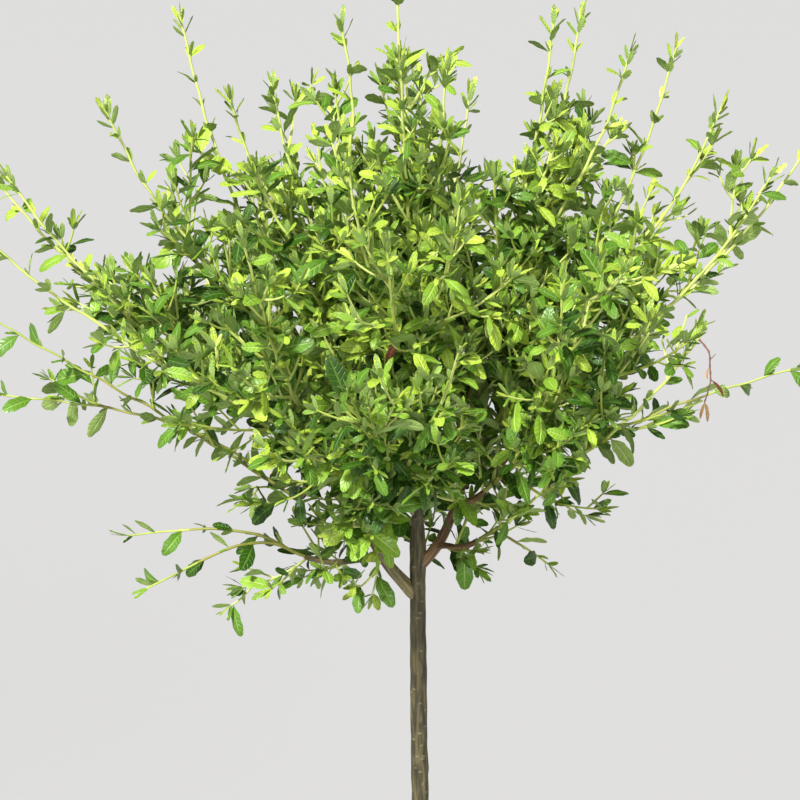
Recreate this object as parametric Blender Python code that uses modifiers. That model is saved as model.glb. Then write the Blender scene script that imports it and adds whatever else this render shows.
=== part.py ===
"""California lilac trained as a small standard, in a pot.

It has a clear stem, a vase of boughs and a loose round crown of long shoots.
Units are metres and +Z is up. The origin is the middle of the pot's flat underside.
Azimuth 0 is the plant's right, 90 its back, 180 its left and 270 its front. Elevation 90 is straight up.
"""

import math
import random
from collections import namedtuple

import bmesh
import bpy
import numpy as np
from mathutils import Matrix
from mathutils.bvhtree import BVHTree

# Pot and soil
POT_HEIGHT = 0.150
POT_MOUTH_RADIUS = 0.092
POT_FOOT_RADIUS = 0.070
POT_WALL = 0.0026
POT_FLOOR = 0.0032
RIM_HEIGHT = 0.016
RIM_LIP = 0.0030
SOIL_DROP = 0.015
SOIL_CROWN = 0.003
SOIL_FLAT_RADIUS = 0.016
ROUND_STEPS = 30
DRAIN_COUNT = 4
DRAIN_RADIUS = 0.0050
DRAIN_CIRCLE = 0.048
DRAIN_SIDES = 6

# Stem and boughs
FORK_HEIGHT = 0.530
HUB_HEIGHT = 0.552
TRUNK_TOP = 0.556
TRUNK_RADIUS = 0.0058
TRUNK_TOP_RADIUS = 0.0047
TRUNK_SWAY = 0.0045
TRUNK_STEPS = 11
TRUNK_STEPS_GROW = 1.25
TRUNK_ROUNDNESS = 3
ROOT_FLARE = 0.0040
FLARE_HEIGHT = 0.022
BOUGH_TIP_RADIUS = 0.0017
BOUGH_STEPS = 4
BOUGH_ROUNDNESS = 1
BOUGH_BEND = 0.35
LEAVES_PARENT_ALONG = 0.9
JOINT_STRAIGHT = 0.004
LOW_ELEVATION = 32
LOW_RANGE = 20
LOW_RISE = 0.4
CLEAR = 0.0003
LIMB_SAMPLES_PER_STEP = 4
STEEP = 0.97

# Leaders: a mass's long shoots
LEADER_STEPS = 5
LEADER_TIP_RADIUS = 0.0008
LEADER_BEND = 0.38
LEADER_LIFT = 0.9
LEVEL_LEADER = 32
ARCHING_LEADER = 36
ARCHING_RANGE = 8
ARCH_RISE = 0.3
ARCH_DROOP = 0.22
LEADER_FORK = 0.13
WALL_PASSES = 6

# Side twigs: a leader has its full number where it stands steep, and hardly any where it is nearly level
TWIGS_PER_LEADER = 3
BUSHY_FROM = 26
BUSHY_RANGE = 20
FIRST_TWIG_AT = 0.10
LAST_TWIG_AT = 0.66
TWIG_LENGTH = 0.072
TWIG_LENGTH_AT_ROOT = 1.15
TWIG_SHORTENS = 0.5
TWIG_LENGTHS = (0.85, 1.15)
TWIG_RADIUS = 0.0009
TWIG_TIP_RADIUS = 0.0006
TWIG_SPREAD = 50
SHORTEST_TWIG = 0.020
TWIG_TRIM = 0.85
TWIG_BEADS = 12
TWIG_ROUNDNESS = 0

# Leaves
SEED = 7
GOLDEN_ANGLE = 137.5
LEAF_LENGTH = 0.031
LEAF_WIDTH = 0.0135
LEAF_THICKNESS = 0.0018
WIDEST_AT = 0.56
LEAF_SPREAD = 50
LEAF_SPREAD_VARIES = 10
LEAF_SIZES = (0.82, 1.08)
LEAF_FACES_FORWARD = 0.5
LEAST_CROSS = 0.2
LEADER_LEAF_GAP = 0.0235
LEADER_LEAVES_FROM = 0.09
TWIG_LEAF_GAP = 0.0155
TWIG_LEAVES_FROM = 0.25
LEAVES_UNTIL = 0.93
TIP_LEAVES_AT = 0.985
TIP_LEAF_SPREAD = 40
TIP_LEAF_SIZES = (0.70, 0.85)
SUNK_SHARE = 0.12
SPACE_MARGIN = 0.0008

# The dead twig that hangs from a leader's tip, as steps outwards and up
DEAD_TWIG_MASS = "right_out"
DEAD_TWIG_LEADER = 1
DEAD_TWIG_STEPS = ((0.000, 0.000), (0.008, -0.007), (0.009, -0.025), (0.005, -0.036))
DEAD_TWIG_RADIUS = 0.0008
DEAD_LEAF_PLACES = ((0.40, 150), (0.70, 210), (0.98, 170))
DEAD_LEAF_SIZE = 0.50

# Each mass of foliage and the bough that carries it. The bough leaves its parent at a share of the parent's
# length, with a base radius, and ends at a distance from the hub. The leaders are the mass's long shoots,
# each by the azimuth and elevation of its tip in degrees and the tip's distance from the fork.
MASSES = {
    "crown_top": (
        "trunk", 1.00, 0.0040, 0.066, ((180, 88, 0.365), (298, 84, 0.320), (262, 77, 0.330), (88, 79, 0.300))
    ),
    "left_arch": ("trunk", 0.938, 0.0041, 0.085, ((172, 44, 0.372), (188, 41, 0.345), (180, 46, 0.350))),
    "right_high": ("trunk", 0.973, 0.0034, 0.078, ((4, 65, 0.360), (350, 59, 0.344))),
    "back_low": ("trunk", 0.915, 0.0031, 0.070, ((107, 25, 0.225), (72, 25, 0.235))),
    "left_top": ("crown_top", 0.25, 0.0022, 0.080, ((209, 68, 0.328), (173, 74, 0.318), (206, 83, 0.346))),
    "right_top": ("crown_top", 0.42, 0.0022, 0.080, ((353, 77, 0.352), (12, 74, 0.357), (345, 69, 0.351))),
    "front_high": ("crown_top", 0.58, 0.0021, 0.080, ((264, 54, 0.290), (252, 65, 0.305), (280, 63, 0.288))),
    "back_high": ("crown_top", 0.72, 0.0020, 0.080, ((110, 60, 0.318), (78, 60, 0.327), (95, 72, 0.330))),
    "left_high": ("left_arch", 0.55, 0.0027, 0.078, ((187, 58, 0.345), (167, 67, 0.372))),
    "left_out": ("left_arch", 0.80, 0.0021, 0.085, ((176, 24, 0.286), (185, 34, 0.309))),
    "left_low": ("left_arch", 0.24, 0.0019, 0.070, ((190, 13, 0.180), (199, 5, 0.170))),
    "front_low": ("left_arch", 0.42, 0.0025, 0.062, ((262, 38, 0.250), (276, 43, 0.276), (246, 36, 0.210))),
    "front_left": ("front_low", 0.55, 0.0020, 0.078, ((241, 51, 0.310), (219, 42, 0.272))),
    "right_arch": ("right_high", 0.60, 0.0024, 0.080, ((5, 49, 0.362), (354, 51, 0.330))),
    "right_out": ("right_arch", 0.55, 0.0020, 0.080, ((358, 31, 0.272), (340, 44, 0.240), (7, 33, 0.190))),
    "right_low": ("right_high", 0.17, 0.0018, 0.050, ((320, 18, 0.104), (313, 38, 0.142))),
    "front_right": (
        "right_high", 0.46, 0.0021, 0.072, ((301, 51, 0.295), (317, 46, 0.254), (327, 36, 0.235))
    ),
    "back_left": ("back_low", 0.55, 0.0020, 0.078, ((133, 42, 0.318), (145, 31, 0.305))),
    "back_right": ("back_low", 0.68, 0.0020, 0.078, ((48, 44, 0.318), (57, 57, 0.318), (33, 37, 0.290))),
}

FORK = np.array((0.0, 0.0, FORK_HEIGHT))
HUB = np.array((0.0, 0.0, HUB_HEIGHT))
UP = np.array((0.0, 0.0, 1.0))

COLOURS = {
    "pot_plastic": ((0.040, 0.042, 0.045), 0.55),
    "potting_soil": ((0.060, 0.038, 0.024), 0.95),
    "bark": ((0.130, 0.105, 0.050), 0.75),
    "foliage": ((0.110, 0.260, 0.060), 0.50),
}


def clear_scene():
    for obj in list(bpy.data.objects):
        bpy.data.objects.remove(obj)


def new_collection(name):
    collection = bpy.data.collections.new(name)
    bpy.context.scene.collection.children.link(collection)
    return collection


def make_material(name):
    colour, roughness = COLOURS[name]
    material = bpy.data.materials.new(name)
    material.use_nodes = True
    shader = material.node_tree.nodes["Principled BSDF"]
    shader.inputs["Base Color"].default_value = (*colour, 1.0)
    shader.inputs["Roughness"].default_value = roughness
    shader.inputs["Metallic"].default_value = 0.0
    return material


def unit(vector):
    return vector / np.linalg.norm(vector)


def toward(azimuth, elevation):
    """The unit vector at an azimuth and an elevation in degrees."""
    a, e = math.radians(azimuth), math.radians(elevation)
    return np.array((math.cos(a) * math.cos(e), math.sin(a) * math.cos(e), math.sin(e)))


def bezier(a, b, c, d, steps):
    """The points of a cubic Bezier curve at even steps."""
    t = np.linspace(0.0, 1.0, steps + 1)[:, None]
    return a * (1 - t) ** 3 + 3 * b * t * (1 - t) ** 2 + 3 * c * t**2 * (1 - t) + d * t**3


def point_at(path, share):
    """The point of a path and the path's direction there, at a share of its number of steps."""
    place = min(max(share, 0.0), 1.0) * (len(path) - 1)
    i = min(int(place), len(path) - 2)
    return path[i] + (path[i + 1] - path[i]) * (place - i), unit(path[i + 1] - path[i])


def mesh_object(name, curve, collection, material):
    """Turns a curve object into a mesh object with welded caps, and removes the curve."""
    graph = bpy.context.evaluated_depsgraph_get()
    mesh = bpy.data.meshes.new_from_object(curve.evaluated_get(graph))
    shape = bmesh.new()
    shape.from_mesh(mesh)
    bmesh.ops.remove_doubles(shape, verts=shape.verts, dist=1e-6)
    bmesh.ops.recalc_face_normals(shape, faces=shape.faces)
    shape.to_mesh(mesh)
    shape.free()
    mesh.materials.clear()
    mesh.materials.append(material)
    bpy.data.objects.remove(curve)
    obj = bpy.data.objects.new(name, mesh)
    collection.objects.link(obj)
    return obj


def tapering_tube(name, path, radii, resolution, profile, collection, material):
    """A closed tube along a path with a radius at each point, round or with a profile curve's section."""
    data = bpy.data.curves.new(name, "CURVE")
    data.dimensions = "3D"
    if profile:
        data.bevel_mode = "OBJECT"
        data.bevel_object = profile
    else:
        data.bevel_depth = 1.0
        data.bevel_resolution = resolution
    data.use_fill_caps = True
    spline = data.splines.new("POLY")
    spline.points.add(len(path) - 1)
    for point, place, radius in zip(spline.points, path, radii):
        point.co = (*place, 1.0)
        point.radius = radius
    curve = bpy.data.objects.new(name + "_route", data)
    collection.objects.link(curve)
    bpy.context.view_layer.update()
    return mesh_object(name, curve, collection, material)


def apply_modifiers(obj):
    graph = bpy.context.evaluated_depsgraph_get()
    mesh = bpy.data.meshes.new_from_object(obj.evaluated_get(graph))
    obj.modifiers.clear()
    obj.data = mesh


def triangle_section(collection):
    """The three-sided section of stems and twigs, one metre in radius, that point radii scale down."""
    data = bpy.data.curves.new("twig_section", "CURVE")
    data.dimensions = "2D"
    spline = data.splines.new("POLY")
    spline.points.add(2)
    for i, point in enumerate(spline.points):
        angle = math.tau * i / 3
        point.co = (math.cos(angle), math.sin(angle), 0.0, 1.0)
    spline.use_cyclic_u = True
    section = bpy.data.objects.new("twig_section", data)
    section.hide_render = True
    section.display_type = "WIRE"
    collection.objects.link(section)
    return section


def turned(name, profile, collection, material):
    """A solid turned round Z from a closed profile of (radius, height) points.

    The profile's outer side runs from top to bottom.
    """
    mesh = bpy.data.meshes.new(name)
    count = len(profile)
    edges = [(i, i + 1) for i in range(count - 1)]
    mesh.from_pydata([(radius, 0.0, height) for radius, height in profile], edges, [])
    obj = bpy.data.objects.new(name, mesh)
    collection.objects.link(obj)
    screw = obj.modifiers.new("turn", "SCREW")
    screw.axis = "Z"
    screw.angle = math.tau
    screw.steps = ROUND_STEPS
    screw.render_steps = ROUND_STEPS
    screw.use_merge_vertices = True
    screw.merge_threshold = 0.00005
    screw.use_smooth_shade = False
    apply_modifiers(obj)
    obj.data.materials.append(material)
    return obj


def pot_radius(height):
    """The pot's outer radius below its rim, which widens evenly from foot to mouth."""
    return POT_FOOT_RADIUS + (POT_MOUTH_RADIUS - POT_FOOT_RADIUS) * height / POT_HEIGHT


def make_pot(collection, cutters, material):
    rim_foot = POT_HEIGHT - RIM_HEIGHT
    mouth = pot_radius(POT_HEIGHT)
    profile = [
        (mouth - POT_WALL, POT_HEIGHT),
        (mouth + RIM_LIP, POT_HEIGHT),
        (pot_radius(rim_foot) + RIM_LIP, rim_foot),
        (pot_radius(rim_foot), rim_foot - RIM_LIP),
        (POT_FOOT_RADIUS, 0.0),
        (0.0, 0.0),
    ]
    inside = [
        (0.0, POT_FLOOR),
        (pot_radius(POT_FLOOR) - POT_WALL, POT_FLOOR),
        (mouth - POT_WALL, POT_HEIGHT),
    ]
    pot = turned("pot", profile + inside, collection, material)
    for i in range(DRAIN_COUNT):
        angle = math.tau * i / DRAIN_COUNT
        place = (DRAIN_CIRCLE * math.cos(angle), DRAIN_CIRCLE * math.sin(angle), POT_FLOOR / 2)
        bpy.ops.mesh.primitive_cylinder_add(
            vertices=DRAIN_SIDES, radius=DRAIN_RADIUS, depth=POT_FLOOR * 3, location=place
        )
        hole = bpy.context.object
        hole.name = f"drain_cutter_{i}"
        hole.hide_render = True
        hole.display_type = "WIRE"
        for owner in list(hole.users_collection):
            owner.objects.unlink(hole)
        cutters.objects.link(hole)
        cut = pot.modifiers.new(f"drain_{i}", "BOOLEAN")
        cut.operation = "DIFFERENCE"
        cut.solver = "EXACT"
        cut.object = hole
    return pot


def soil_top():
    return POT_HEIGHT - SOIL_DROP


def make_soil(collection, material):
    edge_height = soil_top() - SOIL_CROWN
    profile = [
        (0.0, soil_top()),
        (SOIL_FLAT_RADIUS, soil_top()),
        (pot_radius(edge_height) - POT_WALL - CLEAR, edge_height),
        (pot_radius(POT_FLOOR) - POT_WALL - CLEAR, POT_FLOOR + CLEAR),
        (0.0, POT_FLOOR + CLEAR),
    ]
    return turned("soil", profile, collection, material)


def trunk_line():
    """The stem's path and radii: a slow sway that ends upright at the fork, and a flare at the ground."""
    t = np.linspace(0.0, 1.0, TRUNK_STEPS + 1) ** TRUNK_STEPS_GROW
    foot = soil_top() + CLEAR
    height = foot + (TRUNK_TOP - foot) * t
    side = TRUNK_SWAY * np.sin(math.pi * t) * (1 - t)
    lean = -TRUNK_SWAY * np.sin(0.5 * math.pi * (1 - t)) ** 2
    path = np.column_stack((side, lean, height))
    path[0, :2] = path[1, :2]
    flare = ROOT_FLARE * np.exp(-(height - foot) / FLARE_HEIGHT)
    return path, TRUNK_RADIUS + (TRUNK_TOP_RADIUS - TRUNK_RADIUS) * t + flare


def leader_tip(leader):
    azimuth, elevation, reach = leader
    return FORK + toward(azimuth, elevation) * reach


def mass_direction(leaders):
    """The middle direction of the tips of a mass's leaders, seen from the hub of the crown."""
    return unit(sum(unit(leader_tip(leader) - HUB) for leader in leaders))


DIRECTIONS = {name: mass_direction(row[4]) for name, row in MASSES.items()}


def growing_direction(name):
    """The way that a mass's stem sets out: its middle direction, turned up where the mass stands low."""
    direction = DIRECTIONS[name]
    elevation = math.degrees(math.asin(direction[2]))
    rise = LOW_RISE * min(max((LOW_ELEVATION - elevation) / LOW_RANGE, 0.0), 1.0)
    return unit(direction + rise * UP)


def space_walls(name):
    """The inward normals of the planes through the hub that bound a mass's own space."""
    own = DIRECTIONS[name]
    return np.array([unit(own - other) for key, other in DIRECTIONS.items() if key != name])


def room(points, walls):
    """How far each point lies inside a mass's space, negative outside."""
    return ((np.atleast_2d(points) - HUB) @ walls.T).min(axis=1)


def kept_inside(path, walls, margin):
    """The path with any point that is too near a wall of the space moved straight away from it."""
    path = path.copy()
    for _ in range(WALL_PASSES):
        for normal in walls:
            short = margin - (path - HUB) @ normal
            path += np.clip(short, 0.0, None)[:, None] * normal
    return path


def bough_line(name, lines):
    """A bough's path and radii, from the middle of its parent to its tip in its own mass's direction."""
    parent, place, base_radius, reach, _ = MASSES[name]
    parent_path, _ = lines[parent]
    start, along = point_at(parent_path, place)
    tip = HUB + DIRECTIONS[name] * reach
    if place == 1.0:
        start = start + along * CLEAR
        first = along
    else:
        outward = unit((tip - start) - along * ((tip - start) @ along))
        first = unit(LEAVES_PARENT_ALONG * along + outward)
    pull = BOUGH_BEND * np.linalg.norm(tip - start)
    last = growing_direction(name)
    bend = tip - last * JOINT_STRAIGHT
    path = bezier(start, start + first * pull, bend - last * pull, bend, BOUGH_STEPS)
    return np.vstack((path, tip)), np.linspace(base_radius, BOUGH_TIP_RADIUS, BOUGH_STEPS + 2)


def make_limbs(collection, cutters, material):
    """The trunk and the boughs, each cut to sit 0.3 mm clear of the limb that it leaves."""
    lines = {"trunk": trunk_line()}
    tapering_tube("trunk", *lines["trunk"], TRUNK_ROUNDNESS, None, collection, material)
    for name, (parent, place, _, _, _) in MASSES.items():
        lines[name] = bough_line(name, lines)
        bough = tapering_tube("bough_" + name, *lines[name], BOUGH_ROUNDNESS, None, collection, material)
        if place == 1.0:
            continue
        path, radii = lines[parent]
        resolution = TRUNK_ROUNDNESS if parent == "trunk" else BOUGH_ROUNDNESS
        cutter = tapering_tube("seat_cutter", path, radii + CLEAR, resolution, None, cutters, material)
        cut = bough.modifiers.new("seat", "BOOLEAN")
        cut.operation = "DIFFERENCE"
        cut.solver = "EXACT"
        cut.object = cutter
        apply_modifiers(bough)
        bpy.data.objects.remove(cutter)
    return lines


def leader_line(start, direction, leader, walls):
    """A long shoot that leaves outwards and bends to its tip, upright if it is steep, arching over if low."""
    tip = leader_tip(leader)
    span = tip - start
    pull = LEADER_BEND * np.linalg.norm(span)
    arch = min(max((ARCHING_LEADER - leader[1]) / ARCHING_RANGE, 0.0), 1.0)
    lift = LEADER_LIFT * min(max((leader[1] - LEVEL_LEADER) / LEVEL_LEADER, 0.0), 1.0)
    setting_out = unit(direction + ARCH_RISE * arch * UP)
    ending = unit(unit(span) + (lift - ARCH_DROOP * arch) * UP)
    path = bezier(start, start + setting_out * pull, tip - ending * pull, tip, LEADER_STEPS)
    path[1:] = kept_inside(path[1:], walls, SPACE_MARGIN + BOUGH_TIP_RADIUS)
    return path


def side_direction(along, turn):
    """The unit vector square to a path, turned round it by an angle in degrees from the path's upper side."""
    level = unit(np.cross(along, UP if abs(along[2]) < STEEP else np.array((1.0, 0.0, 0.0))))
    over = np.cross(level, along)
    angle = math.radians(turn)
    return over * math.cos(angle) + level * math.sin(angle)


def twig_line(path, share, turn, length):
    """A straight side twig that leaves a leader at a spread."""
    start, along = point_at(path, share)
    spread = math.radians(TWIG_SPREAD)
    direction = unit(along * math.cos(spread) + side_direction(along, turn) * math.sin(spread))
    return start + direction * np.linspace(0.0, length, 2)[:, None]


def fitting_twig(path, share, turn, length, walls, limbs):
    """A side twig that stays in its space and off the wood, cut shorter where it has to be, or None."""
    gap = SPACE_MARGIN + TWIG_RADIUS
    while length > SHORTEST_TWIG:
        twig = twig_line(path, share, turn, length)
        beads = twig[0] + (twig[1] - twig[0]) * np.linspace(0.0, 1.0, TWIG_BEADS)[:, None]
        if room(beads, walls).min() > gap and off_limbs(beads, limbs, gap).all():
            return twig
        length *= TWIG_TRIM
    return None


def leaf_frame(path, share, turn, spread_angle, size):
    """A leaf's root, its axis, its width direction and its upper side's direction, with its length."""
    root, along = point_at(path, share)
    spread = math.radians(spread_angle)
    axis = unit(along * math.cos(spread) + side_direction(along, turn) * math.sin(spread))
    above = unit(LEAF_FACES_FORWARD * along + UP)
    across = np.cross(above, axis)
    if np.linalg.norm(across) < LEAST_CROSS:
        across = np.cross(side_direction(along, turn + 90), axis)
    across = unit(across)
    return root, axis, across, np.cross(axis, across), size


def leaf_corners(frame, from_share=0.0):
    """A leaf's five corners: root, tip, the two sides and the ridge on top. A share can trim the root."""
    root, axis, across, above, size = frame
    waist = root + axis * size * WIDEST_AT
    width = LEAF_WIDTH / 2 * size / LEAF_LENGTH
    return np.array((
        root + axis * size * from_share,
        root + axis * size,
        waist + across * width,
        waist - across * width,
        waist + above * LEAF_THICKNESS,
    ))


# A leaf's faces, by the order of its corners
LEAF_FACES = ((0, 2, 3), (0, 3, 4), (0, 4, 2), (1, 3, 2), (1, 4, 3), (1, 2, 4))


def surface_tree(points, faces):
    return BVHTree.FromPolygons([tuple(p) for p in points], faces)


def object_tree(obj):
    points = [vertex.co for vertex in obj.data.vertices]
    return surface_tree(points, [tuple(face.vertices) for face in obj.data.polygons])


def limb_points(lines):
    """Points along every limb with the radius there, for the test that keeps foliage off the wood."""
    points, radii = [], []
    for path, radius in lines.values():
        for share in np.linspace(0.0, 1.0, LIMB_SAMPLES_PER_STEP * len(path)):
            points.append(point_at(path, share)[0])
            radii.append(np.interp(share * (len(path) - 1), range(len(path)), radius))
    return np.array(points), np.array(radii)


def off_limbs(points, limbs, gap):
    """For each point, whether it is farther from all the wood than a gap."""
    places, radii = limbs
    apart = np.linalg.norm(np.atleast_2d(points)[:, None, :] - places[None, :, :], axis=2) - radii
    return (apart > gap).all(axis=1)


def leaf_mesh(material):
    """The leaf that all leaves share: a sphere of three segments and two rings, pulled out to a blade.

    Its root is at 0 and its tip at 1 on Z. It is 1 wide on X, with a flat underside and a ridge 1 high on Y.
    """
    mesh = bpy.data.meshes.new("leaf_blade")
    shape = bmesh.new()
    bmesh.ops.create_uvsphere(shape, u_segments=3, v_segments=2, radius=0.5)
    waist = [vertex for vertex in shape.verts if abs(vertex.co.z) < 0.1]
    ridge = max(waist, key=lambda vertex: vertex.co.y)
    for vertex in shape.verts:
        if vertex not in waist:
            vertex.co.z += 0.5
        elif vertex is ridge:
            vertex.co = (0.0, 1.0, WIDEST_AT)
        else:
            vertex.co = (math.copysign(0.5, vertex.co.x - ridge.co.x), 0.0, WIDEST_AT)
    bmesh.ops.recalc_face_normals(shape, faces=shape.faces)
    shape.to_mesh(mesh)
    shape.free()
    mesh.materials.append(material)
    return mesh


def place_leaf(name, mesh, frame, collection):
    root, axis, across, above, size = frame
    width = LEAF_WIDTH * size / LEAF_LENGTH
    columns = np.column_stack((across * width, above * LEAF_THICKNESS, axis * size, root))
    matrix = Matrix([*map(tuple, columns), (0.0, 0.0, 0.0, 1.0)])
    obj = bpy.data.objects.new(name, mesh)
    obj.matrix_world = matrix
    collection.objects.link(obj)
    return obj


def keep_main_shell(obj):
    """Keeps a solid's largest closed shell: sealed hollows are filled and loose scraps are dropped."""
    shape = bmesh.new()
    shape.from_mesh(obj.data)
    waiting = set(shape.verts)
    shells = []
    while waiting:
        shell = {waiting.pop()}
        edge = list(shell)
        while edge:
            vertex = edge.pop()
            for link in vertex.link_edges:
                other = link.other_vert(vertex)
                if other in waiting:
                    waiting.discard(other)
                    shell.add(other)
                    edge.append(other)
        shells.append(shell)
    shells.sort(key=len)
    for shell in shells[:-1]:
        bmesh.ops.delete(shape, geom=list(shell), context="VERTS")
    shape.to_mesh(obj.data)
    shape.free()


Shoot = namedtuple("Shoot", "path radii leaf_gap leaves_from tip_leaves")


def make_leader(path):
    radii = np.linspace(BOUGH_TIP_RADIUS, LEADER_TIP_RADIUS, len(path))
    return Shoot(path, radii, LEADER_LEAF_GAP, LEADER_LEAVES_FROM, 2)


def make_twig(path):
    radii = np.linspace(TWIG_RADIUS, TWIG_TIP_RADIUS, len(path))
    return Shoot(path, radii, TWIG_LEAF_GAP, TWIG_LEAVES_FROM, 1)


def twig_count(leader):
    """How many side twigs a leader carries, by its elevation."""
    bushy = min(max((leader[1] - BUSHY_FROM) / BUSHY_RANGE, 0.0), 1.0)
    return max(round(TWIGS_PER_LEADER * bushy), 1)


def grow_shoots(name, lines, limbs, walls, draw):
    """A mass's leaders, which branch from its stem, and the side twigs of each."""
    direction = growing_direction(name)
    start = lines[name][0][-1] + direction * CLEAR
    leaders = MASSES[name][4]
    stem = leader_line(start + direction * JOINT_STRAIGHT, direction, leaders[0], walls)
    stem = np.vstack((start, stem))
    paths = [stem]
    for i, leader in enumerate(leaders[1:]):
        fork, _ = point_at(stem, LEADER_FORK * (i + 1))
        paths.append(leader_line(fork, direction, leader, walls))
    shoots = [make_leader(path) for path in paths]
    for path, leader in zip(paths, leaders):
        phase = draw.uniform(0, 360)
        for i in range(twig_count(leader)):
            share = FIRST_TWIG_AT + (LAST_TWIG_AT - FIRST_TWIG_AT) * i / (TWIGS_PER_LEADER - 1)
            length = TWIG_LENGTH * (TWIG_LENGTH_AT_ROOT - TWIG_SHORTENS * share) * draw.uniform(*TWIG_LENGTHS)
            twig = fitting_twig(path, share, phase + GOLDEN_ANGLE * i, length, walls, limbs)
            if twig is not None:
                shoots.append(make_twig(twig))
    return shoots


def grow_leaves(shoot, draw):
    """Leaf frames along a shoot at an even gap, each turned on by the golden angle, then those at its tip."""
    frames = []
    phase = draw.uniform(0, 360)
    length = np.linalg.norm(np.diff(shoot.path, axis=0), axis=1).sum()
    stretch = LEAVES_UNTIL - shoot.leaves_from
    count = max(round(length * stretch / shoot.leaf_gap), 1)
    for i in range(count):
        share = shoot.leaves_from + stretch * (i + 0.5) / count
        size = LEAF_LENGTH * draw.uniform(*LEAF_SIZES)
        spread = LEAF_SPREAD + draw.uniform(-LEAF_SPREAD_VARIES, LEAF_SPREAD_VARIES)
        frames.append(leaf_frame(shoot.path, share, phase + GOLDEN_ANGLE * i, spread, size))
    for i in range(shoot.tip_leaves):
        size = LEAF_LENGTH * draw.uniform(*TIP_LEAF_SIZES)
        frames.append(leaf_frame(shoot.path, TIP_LEAVES_AT, phase + 180 * i, TIP_LEAF_SPREAD, size))
    return frames


def dead_twig(shoots):
    """The dead twig's shoot, hanging from the tip of its leader, and the frames of its shrivelled leaves."""
    tip, along = point_at(shoots[DEAD_TWIG_LEADER].path, TIP_LEAVES_AT)
    outwards = unit(along * np.array((1.0, 1.0, 0.0)))
    path = np.array([tip + outwards * out + UP * up for out, up in DEAD_TWIG_STEPS])
    radii = np.full(len(path), DEAD_TWIG_RADIUS)
    frames = [
        leaf_frame(path, share, turn, TIP_LEAF_SPREAD, LEAF_LENGTH * DEAD_LEAF_SIZE)
        for share, turn in DEAD_LEAF_PLACES
    ]
    return Shoot(path, radii, 0, 0, 0), frames


def place_leaves(frames, taken, walls, limbs, blade, joining):
    """Places each leaf that keeps to its space and touches nothing past its sunk root."""
    for frame in frames:
        corners = leaf_corners(frame)
        inside = room(corners, walls).min() > SPACE_MARGIN
        outer = surface_tree(leaf_corners(frame, SUNK_SHARE), LEAF_FACES)
        if inside and off_limbs(corners, limbs, SPACE_MARGIN).all() and not any(map(outer.overlap, taken)):
            taken.append(surface_tree(corners, LEAF_FACES))
            place_leaf("leaf", blade, frame, joining)


def fuse(name, joining, collection):
    """Joins all the objects of a collection into one solid with one union, then removes them."""
    solid = joining.objects[0]
    joining.objects.unlink(solid)
    collection.objects.link(solid)
    solid.name = name
    union = solid.modifiers.new("fuse", "BOOLEAN")
    union.operation = "UNION"
    union.operand_type = "COLLECTION"
    union.collection = joining
    union.solver = "EXACT"
    apply_modifiers(solid)
    keep_main_shell(solid)
    for obj in list(joining.objects):
        bpy.data.objects.remove(obj)
    bpy.data.collections.remove(joining)


def grow_mass(name, index, lines, limbs, limb_trees, section, collection, material, blade):
    """One mass of foliage: shoots and leaves that keep to its own space, fused into one solid."""
    walls = space_walls(name)
    draw = random.Random(SEED * 100 + index)
    shoots = grow_shoots(name, lines, limbs, walls, draw)
    frames = [frame for shoot in shoots for frame in grow_leaves(shoot, draw)]
    if name == DEAD_TWIG_MASS:
        twig, dead_leaves = dead_twig(shoots)
        shoots.append(twig)
        frames = dead_leaves + frames
    joining = new_collection("joining_" + name)
    woods = [
        tapering_tube(f"shoot_{i:02}", shoot.path, shoot.radii, TWIG_ROUNDNESS, section, joining, material)
        for i, shoot in enumerate(shoots)
    ]
    taken = limb_trees + [object_tree(wood) for wood in woods]
    place_leaves(frames, taken, walls, limbs, blade, joining)
    fuse("foliage_" + name, joining, collection)


def main():
    clear_scene()
    plant = new_collection("california_lilac")
    cutters = new_collection("cutters")
    materials = {name: make_material(name) for name in COLOURS}
    make_pot(plant, cutters, materials["pot_plastic"])
    make_soil(plant, materials["potting_soil"])
    lines = make_limbs(plant, cutters, materials["bark"])
    limbs = limb_points(lines)
    limb_trees = [object_tree(obj) for obj in plant.objects if obj.name.startswith(("trunk", "bough"))]
    section = triangle_section(cutters)
    blade = leaf_mesh(materials["foliage"])
    for index, name in enumerate(MASSES):
        grow_mass(name, index, lines, limbs, limb_trees, section, plant, materials["foliage"], blade)


main()
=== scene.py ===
"""The looks of a potted California lilac: a clear stem, a vase of boughs and a loose crown of small leaves.

Units are metres and +Z is up. The origin is the middle of the pot's flat underside.
Azimuth 0 is the plant's right, 90 its back, 180 its left and 270 its front. Elevation 90 is straight up.
Boughs, leaders and twigs follow the rule of the solids' source, carried here to finer twigs and leaves.
"""

import math
from collections import namedtuple

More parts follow.
